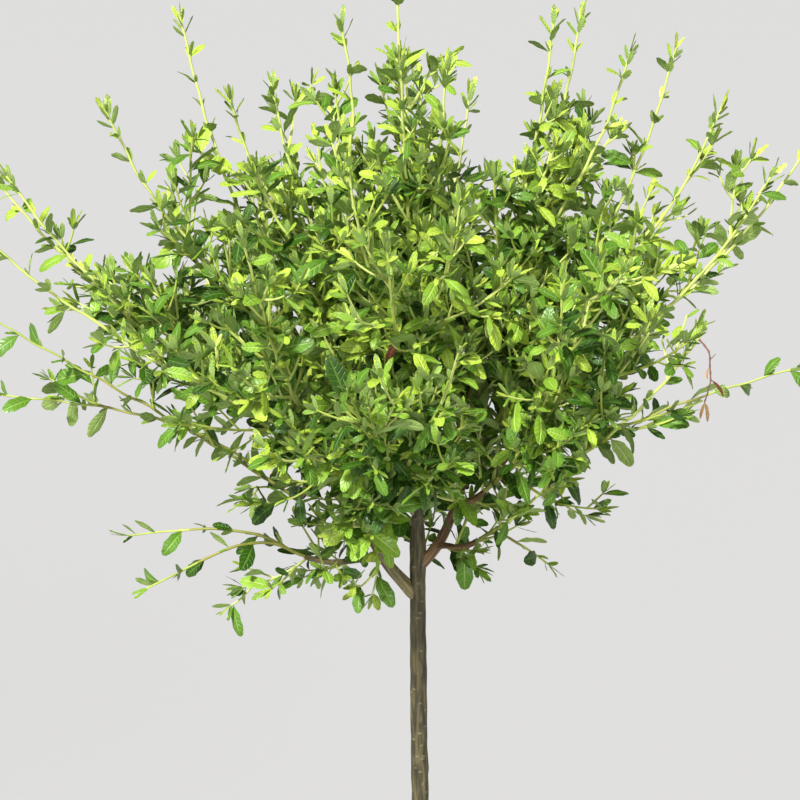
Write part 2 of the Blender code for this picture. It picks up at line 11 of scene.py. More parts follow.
import bpy
import numpy as np
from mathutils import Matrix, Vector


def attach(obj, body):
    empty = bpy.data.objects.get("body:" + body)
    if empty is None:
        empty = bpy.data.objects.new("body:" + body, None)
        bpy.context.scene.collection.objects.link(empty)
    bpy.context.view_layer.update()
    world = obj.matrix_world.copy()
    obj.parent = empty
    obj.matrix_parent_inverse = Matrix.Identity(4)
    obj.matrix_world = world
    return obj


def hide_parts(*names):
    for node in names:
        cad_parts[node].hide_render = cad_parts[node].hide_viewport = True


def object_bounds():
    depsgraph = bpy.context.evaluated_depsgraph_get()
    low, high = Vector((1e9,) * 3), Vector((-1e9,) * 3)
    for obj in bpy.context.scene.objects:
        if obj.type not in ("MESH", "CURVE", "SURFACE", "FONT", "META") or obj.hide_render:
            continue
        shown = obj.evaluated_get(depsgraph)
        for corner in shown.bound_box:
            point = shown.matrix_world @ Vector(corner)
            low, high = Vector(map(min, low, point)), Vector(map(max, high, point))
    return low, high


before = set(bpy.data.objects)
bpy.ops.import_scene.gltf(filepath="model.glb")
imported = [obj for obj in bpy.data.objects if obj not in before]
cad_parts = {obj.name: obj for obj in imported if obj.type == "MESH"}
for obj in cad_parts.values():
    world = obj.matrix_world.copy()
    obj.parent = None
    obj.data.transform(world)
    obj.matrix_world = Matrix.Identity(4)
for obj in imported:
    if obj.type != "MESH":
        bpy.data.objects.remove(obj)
CAD_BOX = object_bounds()

# Angles in degrees, and what stands for nothing where a division needs more
FULL_TURN = 360
QUARTER_TURN = 90
SHARP_ANGLE = 60
NO_LENGTH = 1e-12
NO_BEND = 1e-6

# Pot and soil, as in the solids
POT_HEIGHT = 0.150
POT_MOUTH_RADIUS = 0.092
POT_FOOT_RADIUS = 0.070
POT_WALL = 0.0026
POT_FLOOR = 0.0032
RIM_HEIGHT = 0.016
RIM_LIP = 0.0030
SOIL_DROP = 0.015
SOIL_CROWN = 0.003
SOIL_FLAT_RADIUS = 0.016
DRAIN_COUNT = 4
DRAIN_RADIUS = 0.0050
DRAIN_CIRCLE = 0.048
CLEAR = 0.0003

# Pot's and soil's fine shape
ROUND_STEPS = 120
DRAIN_SIDES = 24
POT_SHARP_ANGLE = 35
CORNER_STEPS = 6
LIP_ROUND = 0.0012
INNER_LIP_ROUND = 0.0009
RIM_ROUND = 0.0010
SMALL_ROUND = 0.0008
FOOT_ROUND = 0.0020
FOOT_RECESS = 0.0016
FOOT_RING = 0.005
FOOT_RING_TOP = 0.007
MIDDLE_RADIUS = 0.002
SOIL_MIDDLE_RADIUS = 0.0015
SOIL_SHARP_ANGLE = 80
SOIL_RINGS = 34
SOIL_LUMP = 0.0013
SOIL_WAVES = 16
SOIL_WAVE_LENGTHS = (0.008, 0.034)
CRUMB_COUNT = 900
CRUMB_SIZES = (0.0009, 0.0030)
CRUMB_GRID = (3, 6)
CRUMB_ROUGH = 0.22
CRUMB_STRETCHES = ((0.7, 0.5, 0.35), (1.4, 1.0, 0.8))
CRUMB_STANDS_OUT = 0.3
CRUMBS_OFF_WALL = 0.003
CHIP_SHARE = 0.16

# Stem and boughs, as in the solids
FORK_HEIGHT = 0.530
HUB_HEIGHT = 0.552
TRUNK_TOP = 0.556
TRUNK_RADIUS = 0.0058
TRUNK_TOP_RADIUS = 0.0047
TRUNK_SWAY = 0.0045
TRUNK_STEPS = 11
ROOT_FLARE = 0.0040
FLARE_HEIGHT = 0.022
BOUGH_TIP_RADIUS = 0.0017
BOUGH_STEPS = 4
BOUGH_BEND = 0.35
LEAVES_PARENT_ALONG = 0.9
JOINT_STRAIGHT = 0.004
LOW_ELEVATION = 32
LOW_RANGE = 20
LOW_RISE = 0.4
TRUNK_STEPS_GROW = 1.25
STEEP = 0.97

# Bark's relief
TRUNK_SIDES = 36
BOUGH_SIDES = 18
LIMB_RING_GAP = 0.0018
FURROW_DEPTH = 0.00011
FURROW_WAVES = 7
FURROW_CRESTS = (2, 9)
FURROW_LENGTHS = (0.018, 0.090)
SCAR_HEIGHT = 0.0007
SCAR_HEIGHTS = (0.4, 1.0)
SCAR_WIDTH = 0.0026
SCAR_TURN = 0.55
SCAR_GAP = 0.032
FIRST_SCAR_AT = 0.010
COLLAR_SWELL = 0.10
COLLAR_LENGTH = 0.006
COLLAR_AT = 1.3
COLLAR_SLIMS = 0.8
RED_BOUGHS = ("right_high", "right_arch", "right_out", "right_low", "front_right")

# Leaders: a mass's long shoots, as in the solids
LEADER_STEPS = 5
LEADER_BEND = 0.38
LEADER_LIFT = 0.9
WALL_PASSES = 6
LEVEL_LEADER = 32
ARCHING_LEADER = 36
ARCHING_RANGE = 8
ARCH_RISE = 0.3
ARCH_DROOP = 0.22
LEADER_FORK = 0.13
SPACE_MARGIN = 0.0008

# Leaders' fine shape
LEADER_ROOT_RADIUS = 0.0014
LEADER_TIP_RADIUS = 0.0007
LEADER_RING_GAP = 0.0026
LEADER_SIDES = 7
NODE_GAP = 0.0155
NODE_SWELL = 0.28
NODE_LENGTH = 0.0016
LEADER_TAPER = 0.8
LAST_NODE_AT = 0.96
FIRST_LEAF_AT = 0.06
ZIGZAG = 0.0006
UPRIGHT = 0.8

# Side twigs and spurs. They thin out under the crown's lower edge, which is an elevation seen from the fork.
EDGE_ELEVATION = 45
EDGE_TILT = 3
EDGE_SOFTNESS = 8
EDGE_DROP_FRONT = 17
EDGE_DROP_BACK = 10
LOW_MIDDLE = 0.102
LOW_SHARE = 0.05
DENSE_REACHES = (0.215, 0.330)
SIDE_TWIG_GAP = 0.0126
FIRST_TWIG_AT = 0.04
LAST_TWIG_AT = 0.86
TWIG_LENGTH = 0.075
TWIG_LENGTHS = (0.50, 1.15)
TWIG_LENGTH_AT_ROOT = 1.10
TWIG_SHORTENS = 0.65
TWIG_RADIUS = 0.0010
TWIG_TIP_RADIUS = 0.00055
TWIG_SPREAD = 42
TWIG_SPREADS_VARY = (-10, 10)
TWIG_RISE = 0.40
TWIG_BEND = 0.35
TWIG_STEPS = 7
TWIG_LEAVES_AT = (0.16, 0.93)
TWIG_LEAFY_SHARE = 0.8
TWIG_TUFT = 6
BOUGH_TWIGS_FROM = 0.44
BOUGH_TWIGS_TO = 0.97
LEAFY_BOUGHS_FROM = {"left_arch": 0.40, "left_low": 0.05, "front_low": 0.10, "right_low": 0.25}
BOUGH_TWIG_GAP = 0.0074
BOUGH_TWIG_LENGTHS = (0.014, 0.046)
BOUGH_TWIG_SPREAD = 62
SPUR_GAP = 0.0135
SPURS_AT = (0.20, 0.85)
SPUR_LENGTHS = (0.010, 0.030)
SPUR_LENGTH_AT_ROOT = 1.1
SPUR_SHORTENS = 0.5
SPUR_SPREAD = 46
SPUR_RADIUS = 0.0007
SPUR_STEPS = 4
SPUR_LEAVES_AT = (0.30, 0.90)
SPUR_LEAF_GAP = 0.0065
SPUR_TIP_LEAF_SIZE = 0.75
SPUR_TUFT = 4
SHORTEST_TWIG = 0.009
TWIG_TRIM = 0.80
TWIG_SIDES = 5
SPACE_SLACK = 0.012
BOX_SLACK = 0.004
LIMB_POINT_GAP = 0.004
LEAF_CLEARANCE = 0.0015
BLADE_TESTS_AT = (0.35, 0.60, 0.90)

# Leaves. A spray is fresher the farther out and up it stands in the crown, and darker in its middle as a
# painted shade.
SEED = 7
SEEDS_APART = 100
GOLDEN_ANGLE = 137.5
CROWN_REACH = 0.34
CROWN_HEIGHT = 0.36
OUTWARD_LIGHT = 0.22
UPWARD_LIGHT = 0.56
SPRAY_TONES_VARY = (-0.40, 0.62)
TURNS_VARY = (-18, 18)
LEAF_LENGTH = 0.0220
LEAF_SIZES = (0.62, 1.20)
LEAF_WIDTHS = (0.34, 0.46)
LEAF_SPREADS = (38, 68)
LEAF_ROLLS = (-60, 60)
LEAF_BENDS = (0.15, 0.95)
LEAF_FOLDS = (0.10, 0.45)
LEAF_FACES_ALONG = 0.5
WEAK_CROSS = 0.2
LEAF_THICKNESS = 0.00026
LEAF_COLUMNS = 5
LEAF_ROWS = (0.09, 0.20, 0.35, 0.51, 0.68, 0.84, 0.95)
LEAF_HALF_WIDTHS = (0.13, 0.52, 0.84, 0.99, 0.98, 0.78, 0.45)
LEAF_TEETH = 0.07
LEAF_CURL = 0.22
LEAF_WAVE = 0.10
LEAF_WAVES = 11.0
LEAF_WAVE_PHASE = 1.7
TWIG_LEAF_GAP = 0.0086
LOW_LEAF_ROLL = 48
TONE_RISE = 2.2
TONE_RISES_FROM = 0.6
LEAF_TONES_VARY = (-0.7, 0.7)
GROWN_TONES = 4
LIME = 4
AXIL_TURN = 55
AXIL_TURNS_VARY = (-15, 15)
AXIL_SPREADS = (18, 42)
AXIL_SIZES = (0.28, 0.50)
AXIL_WIDTHS = (0.32, 0.44)
AXIL_BENDS = (-0.2, 0.5)
AXIL_FOLDS = (0.1, 0.4)
AXIL_TONES = 3
TUFT_AT = (0.955, 0.995)
TUFT_SIZES = (0.36, 0.66)
TUFT_WIDTHS = (0.26, 0.37)
TUFT_BENDS = (-0.35, 0.25)
TUFT_FOLDS = (0.15, 0.55)
TUFT_SPREADS = (50, 10)
TUFT_SPREADS_VARY = (-7, 7)
YOUNG_COLUMNS = 3
YOUNG_ROWS = (0.22, 0.55, 0.86)
YOUNG_HALF_WIDTHS = (0.66, 1.00, 0.66)

# The dead twig that hangs from a leader's tip, as steps outwards and up
DEAD_TWIG_MASS = "right_out"
DEAD_TWIG_LEADER = 1
DEAD_TWIG_STEPS = ((0.000, 0.000), (0.008, -0.007), (0.009, -0.025), (0.005, -0.036))
DEAD_TWIG_AT = 0.985
DEAD_TWIG_RING_GAP = 0.0008
DEAD_TWIG_RADIUS = 0.0005
DEAD_TWIG_GIRTH = 1.2
DEAD_TWIG_NARROWS = 0.4
DEAD_TWIG_KNOB = 0.2
DEAD_TWIG_KNOBS = 60.0
DEAD_TWIG_CROOK = 0.0005
DEAD_TWIG_CROOK_GAP = 0.0045
DEAD_STUB_AT = 0.36
DEAD_STUB_LENGTH = 0.0055
DEAD_STUB_RINGS = 5
DEAD_STUB_GIRTHS = (0.7, 0.3)

# Its shrivelled leaves: share of its length, turn, spread, length, bend and tone
DEAD_LEAVES = (
    (0.46, 190, 32, 0.0085, 1.3, 0), (0.64, 0, 38, 0.0130, 0.2, 0), (0.97, 185, 16, 0.0120, -0.4, 0),
    (0.99, 150, 34, 0.0125, 0.5, 1),
)
DEAD_LEAF_WIDTH = 0.34
DEAD_LEAF_ROLL = 35.0
DEAD_LEAF_FOLD = 1.0

# Clearings among the leaves, each by its middle and its half sizes: before the fork, and round the dead twig
CLEARINGS = (
    ((-0.002, -0.045, 0.574), (0.011, 0.055, 0.022)),
    ((0.173, -0.100, 0.678), (0.019, 0.080, 0.030)),
)

# Withered leaves that still hang in the crown: mass, leader, share of its length and turn
WITHERED_LEAVES = (
    ("front_high", 0, 0.62, 40), ("front_high", 0, 0.64, 170), ("front_low", 2, 0.30, 120),
    ("front_low", 1, 0.34, 250), ("front_left", 0, 0.30, 80), ("left_high", 0, 0.35, 200),
    ("right_high", 1, 0.40, 300), ("back_high", 1, 0.45, 60), ("back_right", 0, 0.35, 190),
)
WITHERED_SPREADS = (60, 100)
WITHERED_SIZES = (0.6, 0.9)
WITHERED_WIDTH = 0.30
WITHERED_BENDS = (1.0, 1.9)
WITHERED_FOLDS = (0.7, 1.0)

# Each mass of foliage and the bough that carries it, as in the solids. The bough leaves its parent at a share
# of the parent's length, with a base radius, and ends at a distance from the hub. The leaders are the mass's
# long shoots, each by the azimuth and elevation of its tip in degrees and the tip's distance from the fork.
MASSES = {
    "crown_top": (
        "trunk", 1.00, 0.0040, 0.066, ((180, 88, 0.365), (298, 84, 0.320), (262, 77, 0.330), (88, 79, 0.300))
    ),
    "left_arch": ("trunk", 0.938, 0.0041, 0.085, ((172, 44, 0.372), (188, 41, 0.345), (180, 46, 0.350))),
    "right_high": ("trunk", 0.973, 0.0034, 0.078, ((4, 65, 0.360), (350, 59, 0.344))),
    "back_low": ("trunk", 0.915, 0.0031, 0.070, ((107, 25, 0.225), (72, 25, 0.235))),
    "left_top": ("crown_top", 0.25, 0.0022, 0.080, ((209, 68, 0.328), (173, 74, 0.318), (206, 83, 0.346))),
    "right_top": ("crown_top", 0.42, 0.0022, 0.080, ((353, 77, 0.352), (12, 74, 0.357), (345, 69, 0.351))),
    "front_high": ("crown_top", 0.58, 0.0021, 0.080, ((264, 54, 0.290), (252, 65, 0.305), (280, 63, 0.288))),
    "back_high": ("crown_top", 0.72, 0.0020, 0.080, ((110, 60, 0.318), (78, 60, 0.327), (95, 72, 0.330))),
    "left_high": ("left_arch", 0.55, 0.0027, 0.078, ((187, 58, 0.345), (167, 67, 0.372))),
    "left_out": ("left_arch", 0.80, 0.0021, 0.085, ((176, 24, 0.286), (185, 34, 0.309))),
    "left_low": ("left_arch", 0.24, 0.0019, 0.070, ((190, 13, 0.180), (199, 5, 0.170))),
    "front_low": ("left_arch", 0.42, 0.0025, 0.062, ((262, 38, 0.250), (276, 43, 0.276), (246, 36, 0.210))),
    "front_left": ("front_low", 0.55, 0.0020, 0.078, ((241, 51, 0.310), (219, 42, 0.272))),
    "right_arch": ("right_high", 0.60, 0.0024, 0.080, ((5, 49, 0.362), (354, 51, 0.330))),
    "right_out": ("right_arch", 0.55, 0.0020, 0.080, ((358, 31, 0.272), (340, 44, 0.240), (7, 33, 0.190))),
    "right_low": ("right_high", 0.17, 0.0018, 0.050, ((320, 18, 0.104), (313, 38, 0.142))),
    "front_right": (
        "right_high", 0.46, 0.0021, 0.072, ((301, 51, 0.295), (317, 46, 0.254), (327, 36, 0.235))
    ),
    "back_left": ("back_low", 0.55, 0.0020, 0.078, ((133, 42, 0.318), (145, 31, 0.305))),
    "back_right": ("back_low", 0.68, 0.0020, 0.078, ((48, 44, 0.318), (57, 57, 0.318), (33, 37, 0.290))),
}

FORK = np.array((0.0, 0.0, FORK_HEIGHT))
HUB = np.array((0.0, 0.0, HUB_HEIGHT))
UP = np.array((0.0, 0.0, 1.0))
ACROSS = np.array((1.0, 0.0, 0.0))
BOX_LOW = np.array(CAD_BOX[0]) - BOX_SLACK
BOX_HIGH = np.array(CAD_BOX[1]) + BOX_SLACK

# Colours are linear. Leaf tones run from the darker middle of the crown, a painted shade, out to its tips:
# blade and midrib.
LEAF_ROUGHNESS = 0.36
LEAF_TONES = {
    "leaf_deep": ((0.026, 0.082, 0.005), (0.115, 0.225, 0.030)),
    "leaf_green": ((0.088, 0.210, 0.014), (0.240, 0.405, 0.072)),
    "leaf_bright": ((0.198, 0.362, 0.026), (0.400, 0.570, 0.118)),
    "leaf_fresh": ((0.365, 0.535, 0.042), (0.570, 0.700, 0.160)),
    "leaf_lime": ((0.540, 0.675, 0.070), (0.710, 0.805, 0.220)),
}

# Other sides of leaves and skins of shoots: colour, paler colour and roughness
OTHER_LEAF_SIDES = {
    "leaf_underside": ((0.285, 0.430, 0.098), (0.470, 0.600, 0.205), 0.75),
    "dead_leaf": ((0.130, 0.038, 0.018), (0.260, 0.105, 0.050), 0.8),
    "dead_leaf_pale": ((0.480, 0.270, 0.115), (0.640, 0.430, 0.230), 0.8),
}
SHOOT_TONES = {
    "shoot_olive": ((0.200, 0.210, 0.025), (0.380, 0.380, 0.080), 0.55),
    "shoot_green": ((0.330, 0.420, 0.045), (0.490, 0.570, 0.130), 0.45),
    "shoot_lime": ((0.455, 0.550, 0.095), (0.645, 0.725, 0.245), 0.42),
}
DEAD_WOOD = {"dead_wood": ((0.085, 0.032, 0.020), (0.280, 0.150, 0.105), 0.8)}

# Bark: dark, light and pores. Soil: dark and light.
BARK_TONES = {
    "bark_trunk": ((0.030, 0.025, 0.011), (0.115, 0.098, 0.040), (0.240, 0.205, 0.110)),
    "bark_bough": ((0.085, 0.068, 0.028), (0.265, 0.228, 0.100), (0.400, 0.345, 0.190)),
    "bark_red": ((0.090, 0.044, 0.020), (0.250, 0.150, 0.070), (0.380, 0.290, 0.160)),
}
SOIL_TONES = {
    "soil": ((0.012, 0.008, 0.005), (0.075, 0.050, 0.032)),
    "soil_crumb": ((0.016, 0.010, 0.006), (0.090, 0.060, 0.038)),
    "bark_chip": ((0.090, 0.050, 0.026), (0.240, 0.150, 0.085)),
}
PLASTIC_COLOUR = (0.040, 0.042, 0.045)
DUST_COLOUR = (0.160, 0.130, 0.100)
DUST_HEIGHT = 0.075
DUST_SHARE = 0.55

# Patterns on the surfaces: a leaf's veins, the mottle of a colour, and the bark's streaks and pores
SIDE_VEINS = 7.0
RIB_EDGES = (0.04, 0.20)
RIB_PALE = 0.75
VEIN_WIDTH = 0.62
VEIN_PALE = 0.42
VEIN_DEPTH = 0.7
MOTTLE_FINER = 7.0
MOTTLE_SHARE = 0.3
STREAK_SQUEEZE = (1.0, 1.0, 0.12)
PORE_SQUEEZE = (0.55, 0.55, 1.0)
PORE_EDGES = (0.10, 0.26)
PORE_RISE = 0.6
PORE_PALE = 0.5

# Floor and light
FLOOR_HALF = 60.0
FLOOR_COLOUR = (0.475, 0.475, 0.485)
ROOM_COLOUR = (0.72, 0.72, 0.72)
ROOM_STRENGTH = 0.26
BACKDROP_COLOUR = (0.74, 0.74, 0.735)
KEY_LIGHT = {"azimuth": 238, "elevation": 44, "strength": 5.8, "angle": 7, "colour": (1.0, 0.99, 0.96)}
FILL_LIGHT = {"azimuth": 288, "elevation": 16, "strength": 1.3, "angle": 25, "colour": (1.0, 1.0, 0.98)}

# Camera, from the picture's own frame of 800 by 800
PICTURE_MIDDLE = 400
METRES_PER_PIXEL = 0.0006
STEM_COLUMN = 418
FORK_ROW = 590
VIEW_DISTANCE = 1.7
VIEW_ELEVATION = 12
SENSOR_WIDTH = 36.0


def unit(vectors):
    """Vectors scaled to length one, along the last axis."""
    return vectors / np.maximum(np.linalg.norm(vectors, axis=-1, keepdims=True), NO_LENGTH)


def toward(azimuth, elevation):
    """The unit vector at an azimuth and an elevation in degrees."""
    a, e = math.radians(azimuth), math.radians(elevation)
    return np.array((math.cos(a) * math.cos(e), math.sin(a) * math.cos(e), math.sin(e)))


def bezier(a, b, c, d, steps):
    """The points of a cubic Bezier curve at even steps."""
    t = np.linspace(0.0, 1.0, steps + 1)[:, None]
    return a * (1 - t) ** 3 + 3 * b * t * (1 - t) ** 2 + 3 * c * t**2 * (1 - t) + d * t**3


def point_at(path, share):
    """The point of a path and the path's direction there, at a share of its number of steps."""
    place = min(max(share, 0.0), 1.0) * (len(path) - 1)
    i = min(int(place), len(path) - 2)
    return path[i] + (path[i + 1] - path[i]) * (place - i), unit(path[i + 1] - path[i])


def lengths_along(path):
    """The distance of each point of a path from its start, along the path."""
    return np.concatenate(([0.0], np.cumsum(np.linalg.norm(np.diff(path, axis=0), axis=1))))


def points_along(path, shares):
    """Points and directions at shares of a path's length."""
    lengths = lengths_along(path)
    wanted = np.asarray(shares) * lengths[-1]
    points = np.column_stack([np.interp(wanted, lengths, path[:, k]) for k in range(3)])
    tangents = unit(np.gradient(path, lengths, axis=0))
    directions = np.column_stack([np.interp(wanted, lengths, tangents[:, k]) for k in range(3)])
    return points, unit(directions)


def smooth_path(path, gap):
    """A path through the same points with a point at every gap: cubic Hermite spans over the chord lengths.

    The slope at a point is the mean of its two chords' slopes, each weighted by the other chord's length.
    """
    lengths = lengths_along(path)
    chords = np.diff(lengths)[:, None]
    slopes = np.diff(path, axis=0) / chords
    middle = (slopes[:-1] * chords[1:] + slopes[1:] * chords[:-1]) / (chords[1:] + chords[:-1])
    slope = np.vstack((slopes[:1], middle, slopes[-1:]))
    wanted = np.linspace(0.0, lengths[-1], max(int(lengths[-1] / gap), 3) + 1)
    i = np.clip(np.searchsorted(lengths, wanted, side="right") - 1, 0, len(path) - 2)
    span = np.diff(lengths)[i][:, None]
    t = (wanted - lengths[i])[:, None] / span
    start = path[i] * (1 + 2 * t) * (1 - t) ** 2 + slope[i] * span * t * (1 - t) ** 2
    return start + path[i + 1] * t**2 * (3 - 2 * t) + slope[i + 1] * span * t**2 * (t - 1)


# Growth, by the rule of the solids


def pot_radius(height):
    """The pot's outer radius below its rim, which widens evenly from foot to mouth."""
    return POT_FOOT_RADIUS + (POT_MOUTH_RADIUS - POT_FOOT_RADIUS) * height / POT_HEIGHT


def soil_top():
    """The height of the soil round the stem."""
    return POT_HEIGHT - SOIL_DROP


def trunk_line():
    """The stem's path and radii: a slow sway that ends upright at the fork, and a flare at the ground."""
    t = np.linspace(0.0, 1.0, TRUNK_STEPS + 1) ** TRUNK_STEPS_GROW
    foot = soil_top() + CLEAR
    height = foot + (TRUNK_TOP - foot) * t
    side = TRUNK_SWAY * np.sin(math.pi * t) * (1 - t)
    lean = -TRUNK_SWAY * np.sin(0.5 * math.pi * (1 - t)) ** 2
    path = np.column_stack((side, lean, height))
    path[0, :2] = path[1, :2]
    flare = ROOT_FLARE * np.exp(-(height - foot) / FLARE_HEIGHT)
    return path, TRUNK_RADIUS + (TRUNK_TOP_RADIUS - TRUNK_RADIUS) * t + flare


def leader_tip(leader):
    """The tip of a leader, from its azimuth, elevation and distance as seen from the fork."""
    azimuth, elevation, reach = leader
    return FORK + toward(azimuth, elevation) * reach


def mass_direction(leaders):
    """The middle direction of the tips of a mass's leaders, seen from the hub of the crown."""
    return unit(sum(unit(leader_tip(leader) - HUB) for leader in leaders))


DIRECTIONS = {name: mass_direction(row[-1]) for name, row in MASSES.items()}


def growing_direction(name):
    """The way that a mass's stem sets out: its middle direction, turned up where the mass stands low."""
    direction = DIRECTIONS[name]
    elevation = math.degrees(math.asin(direction[2]))
    rise = LOW_RISE * min(max((LOW_ELEVATION - elevation) / LOW_RANGE, 0.0), 1.0)
    return unit(direction + rise * UP)


def space_walls(name):
    """The inward normals of the planes through the hub that bound a mass's own space."""
    own = DIRECTIONS[name]
    return np.array([unit(own - other) for key, other in DIRECTIONS.items() if key != name])


def room(points, walls):
    """How far each point lies inside a mass's space, negative outside."""
    return ((np.atleast_2d(points) - HUB) @ walls.T).min(axis=1)


def kept_inside(path, walls, margin):
    """The path with any point that is too near a wall of the space moved straight away from it."""
    path = path.copy()
    for _ in range(WALL_PASSES):
        for normal in walls:
            short = margin - (path - HUB) @ normal
            path += np.clip(short, 0.0, None)[:, None] * normal
    return path


def bough_line(name, lines):
    """A bough's path and radii, from the middle of its parent to its tip in its own mass's direction."""
    parent, place, base_radius, reach, _ = MASSES[name]
    parent_path, _ = lines[parent]
    start, along = point_at(parent_path, place)
    tip = HUB + DIRECTIONS[name] * reach
    if place == 1.0:
        start = start + along * CLEAR
        first = along
    else:
        outward = unit((tip - start) - along * ((tip - start) @ along))
        first = unit(LEAVES_PARENT_ALONG * along + outward)
    pull = BOUGH_BEND * np.linalg.norm(tip - start)
    last = growing_direction(name)
    bend = tip - last * JOINT_STRAIGHT
    path = bezier(start, start + first * pull, bend - last * pull, bend, BOUGH_STEPS)
    return np.vstack((path, tip)), np.linspace(base_radius, BOUGH_TIP_RADIUS, BOUGH_STEPS + 2)


def limb_lines():
    """The path and radii of the trunk and of every bough."""
    lines = {"trunk": trunk_line()}
    for name in MASSES:
        lines[name] = bough_line(name, lines)
    return lines


def leader_line(start, direction, leader, walls):
    """A long shoot that leaves outwards and bends to its tip, upright if it is steep, arching over if low."""
    tip = leader_tip(leader)
    span = tip - start
    pull = LEADER_BEND * np.linalg.norm(span)
    arch = min(max((ARCHING_LEADER - leader[1]) / ARCHING_RANGE, 0.0), 1.0)
    lift = LEADER_LIFT * min(max((leader[1] - LEVEL_LEADER) / LEVEL_LEADER, 0.0), 1.0)
    setting_out = unit(direction + ARCH_RISE * arch * UP)
    ending = unit(unit(span) + (lift - ARCH_DROOP * arch) * UP)
    path = bezier(start, start + setting_out * pull, tip - ending * pull, tip, LEADER_STEPS)
    path[1:] = kept_inside(path[1:], walls, SPACE_MARGIN + BOUGH_TIP_RADIUS)
    return path


def leader_lines(name, lines, walls):
    """A mass's leaders: the first goes on from its bough, and the others fork from the first."""
    direction = growing_direction(name)
    start = lines[name][0][-1] + direction * CLEAR
    *_, leaders = MASSES[name]
    stem = leader_line(start + direction * JOINT_STRAIGHT, direction, leaders[0], walls)
    stem = np.vstack((start, stem))
    paths = [stem]
    for i, leader in enumerate(leaders[1:]):
        fork, _ = point_at(stem, LEADER_FORK * (i + 1))
        paths.append(leader_line(fork, direction, leader, walls))
    return paths


def side_directions(along, turn):
    """Unit vectors square to some directions, turned round them by degrees from their upper side."""
    steep = np.abs(along[..., 2:]) > STEEP
    level = unit(np.cross(along, np.where(steep, ACROSS, UP)))
    over = np.cross(level, along)
    angle = np.radians(turn)[..., None]
    return over * np.cos(angle) + level * np.sin(angle)


# Finer growth

Space = namedtuple("Space", "walls limbs")
Growth = namedtuple("Growth", "leaders twigs spurs grown young")
Shoot = namedtuple("Shoot", "path radii tones")
Leaves = namedtuple("Leaves", "root along turn spread roll size width bend fold tone")
Habit = namedtuple("Habit", "girth tip_leaf_size axil_count tuft_count young_tone olive_to green_to")

# How a leader grows in the crown, and under it: slimmer, barer, darker, and olive and green to its very tip
CROWN_HABIT = Habit(
    girth=1.0, tip_leaf_size=0.62, axil_count=2, tuft_count=7, young_tone=LIME, olive_to=0.14, green_to=0.36
)
LOW_HABIT = Habit(
    girth=0.78, tip_leaf_size=0.95, axil_count=1, tuft_count=4, young_tone=2, olive_to=0.65, green_to=math.inf
)


def zigzag_leader(path, phase):
    """A leader's fine path, its radii with a swelling at each node, and the nodes' shares of its length.

    The path swings from side to side by half a wave from one node to the next.
    """
    fine = smooth_path(path, LEADER_RING_GAP)
    lengths = lengths_along(fine)
    share = lengths / lengths[-1]
    along = unit(np.gradient(fine, lengths, axis=0))
    swing = ZIGZAG * np.sin(math.pi * lengths / NODE_GAP + phase) * np.sin(math.pi * share) ** 0.5
    fine = fine + side_directions(along, np.full(len(fine), math.degrees(phase))) * swing[:, None]
    taper = LEADER_ROOT_RADIUS + (LEADER_TIP_RADIUS - LEADER_ROOT_RADIUS) * share**LEADER_TAPER
    nodes = np.arange(NODE_GAP, lengths[-1] * LAST_NODE_AT, NODE_GAP)
    near = np.abs(lengths[:, None] - nodes[None, :]).min(axis=1)
    radii = taper * (1 + NODE_SWELL * np.exp(-((near / NODE_LENGTH) ** 2)))
    return fine, radii, nodes / lengths[-1]


def curved_twig(start, along, turn, spread, length, steps):
    """A side twig: it leaves at a spread and bends up towards its parent's own direction and the light."""
    angle = math.radians(spread)
    out = unit(along * math.cos(angle) + side_directions(along, np.array(turn)) * math.sin(angle))
    ending = unit(out + TWIG_RISE * (along + UP))
    tip = start + unit(out + ending) * length
    return bezier(start, start + out * length * TWIG_BEND, tip - ending * length * TWIG_BEND, tip, steps)


def clear_of_limbs(points, limbs, gap):
    """For each point, whether it is farther from all the wood than a gap."""
    places, radii = limbs
    apart = np.linalg.norm(points[:, None, :] - places[None, :, :], axis=2) - radii
    return (apart > gap).all(axis=1)


def in_reach(points, walls):
    """For each point, whether it lies in the solids' box, outside the clearings and in its mass's space.

    A clearing is an ellipsoid: a point lies outside where its offset over the half sizes is longer than one.
    """
    keep = ((points > BOX_LOW) & (points < BOX_HIGH)).all(axis=1)
    for middle, half in CLEARINGS:
        keep &= np.linalg.norm((points - middle) / half, axis=1) > 1.0
    return keep if walls is None else keep & (room(points, walls) > -SPACE_SLACK)


def fitting_twig(start, along, turn, spread, length, steps, space):
    """A side twig that stays in reach and off the wood, cut shorter where it has to be, or None."""
    while length > SHORTEST_TWIG:
        twig = curved_twig(start, along, turn, spread, length, steps)
        if in_reach(twig, space.walls).all() and clear_of_limbs(twig[2:], space.limbs, TWIG_RADIUS).all():
            return twig
        length *= TWIG_TRIM
    return None


def sprouts(path, shares, draw):
    """Where side shoots leave a path: share, point, the path's direction, and a turn by the golden angle."""
    turns = draw.uniform(0, FULL_TURN) + GOLDEN_ANGLE * np.arange(len(shares))
    return zip(shares, *points_along(path, shares), turns)


def limb_points(lines):
    """Points along every limb with the radius there, for the test that keeps foliage off the wood."""
    points, radii = [], []
    for path, radius in lines.values():
        fine = smooth_path(path, LIMB_POINT_GAP)
        share = np.linspace(0.0, 1.0, len(fine))
        points.append(fine)
        radii.append(np.interp(share, np.linspace(0.0, 1.0, len(radius)), radius))
    return np.vstack(points), np.concatenate(radii)


def spray_tone(point, draw):
    """A spray's tone: painted shade deep in the crown, fresher green and painted light out and on top."""
    outward = np.linalg.norm(point - HUB) / CROWN_REACH
    upward = (point[2] - FORK_HEIGHT) / CROWN_HEIGHT
    # Painted shade and light: the tone darkens towards the crown's middle and lightens out and up.
    brightness = OUTWARD_LIGHT * outward + UPWARD_LIGHT * upward + draw.uniform(*SPRAY_TONES_VARY)
    return int(np.clip(brightness * GROWN_TONES, 0, GROWN_TONES - 1))


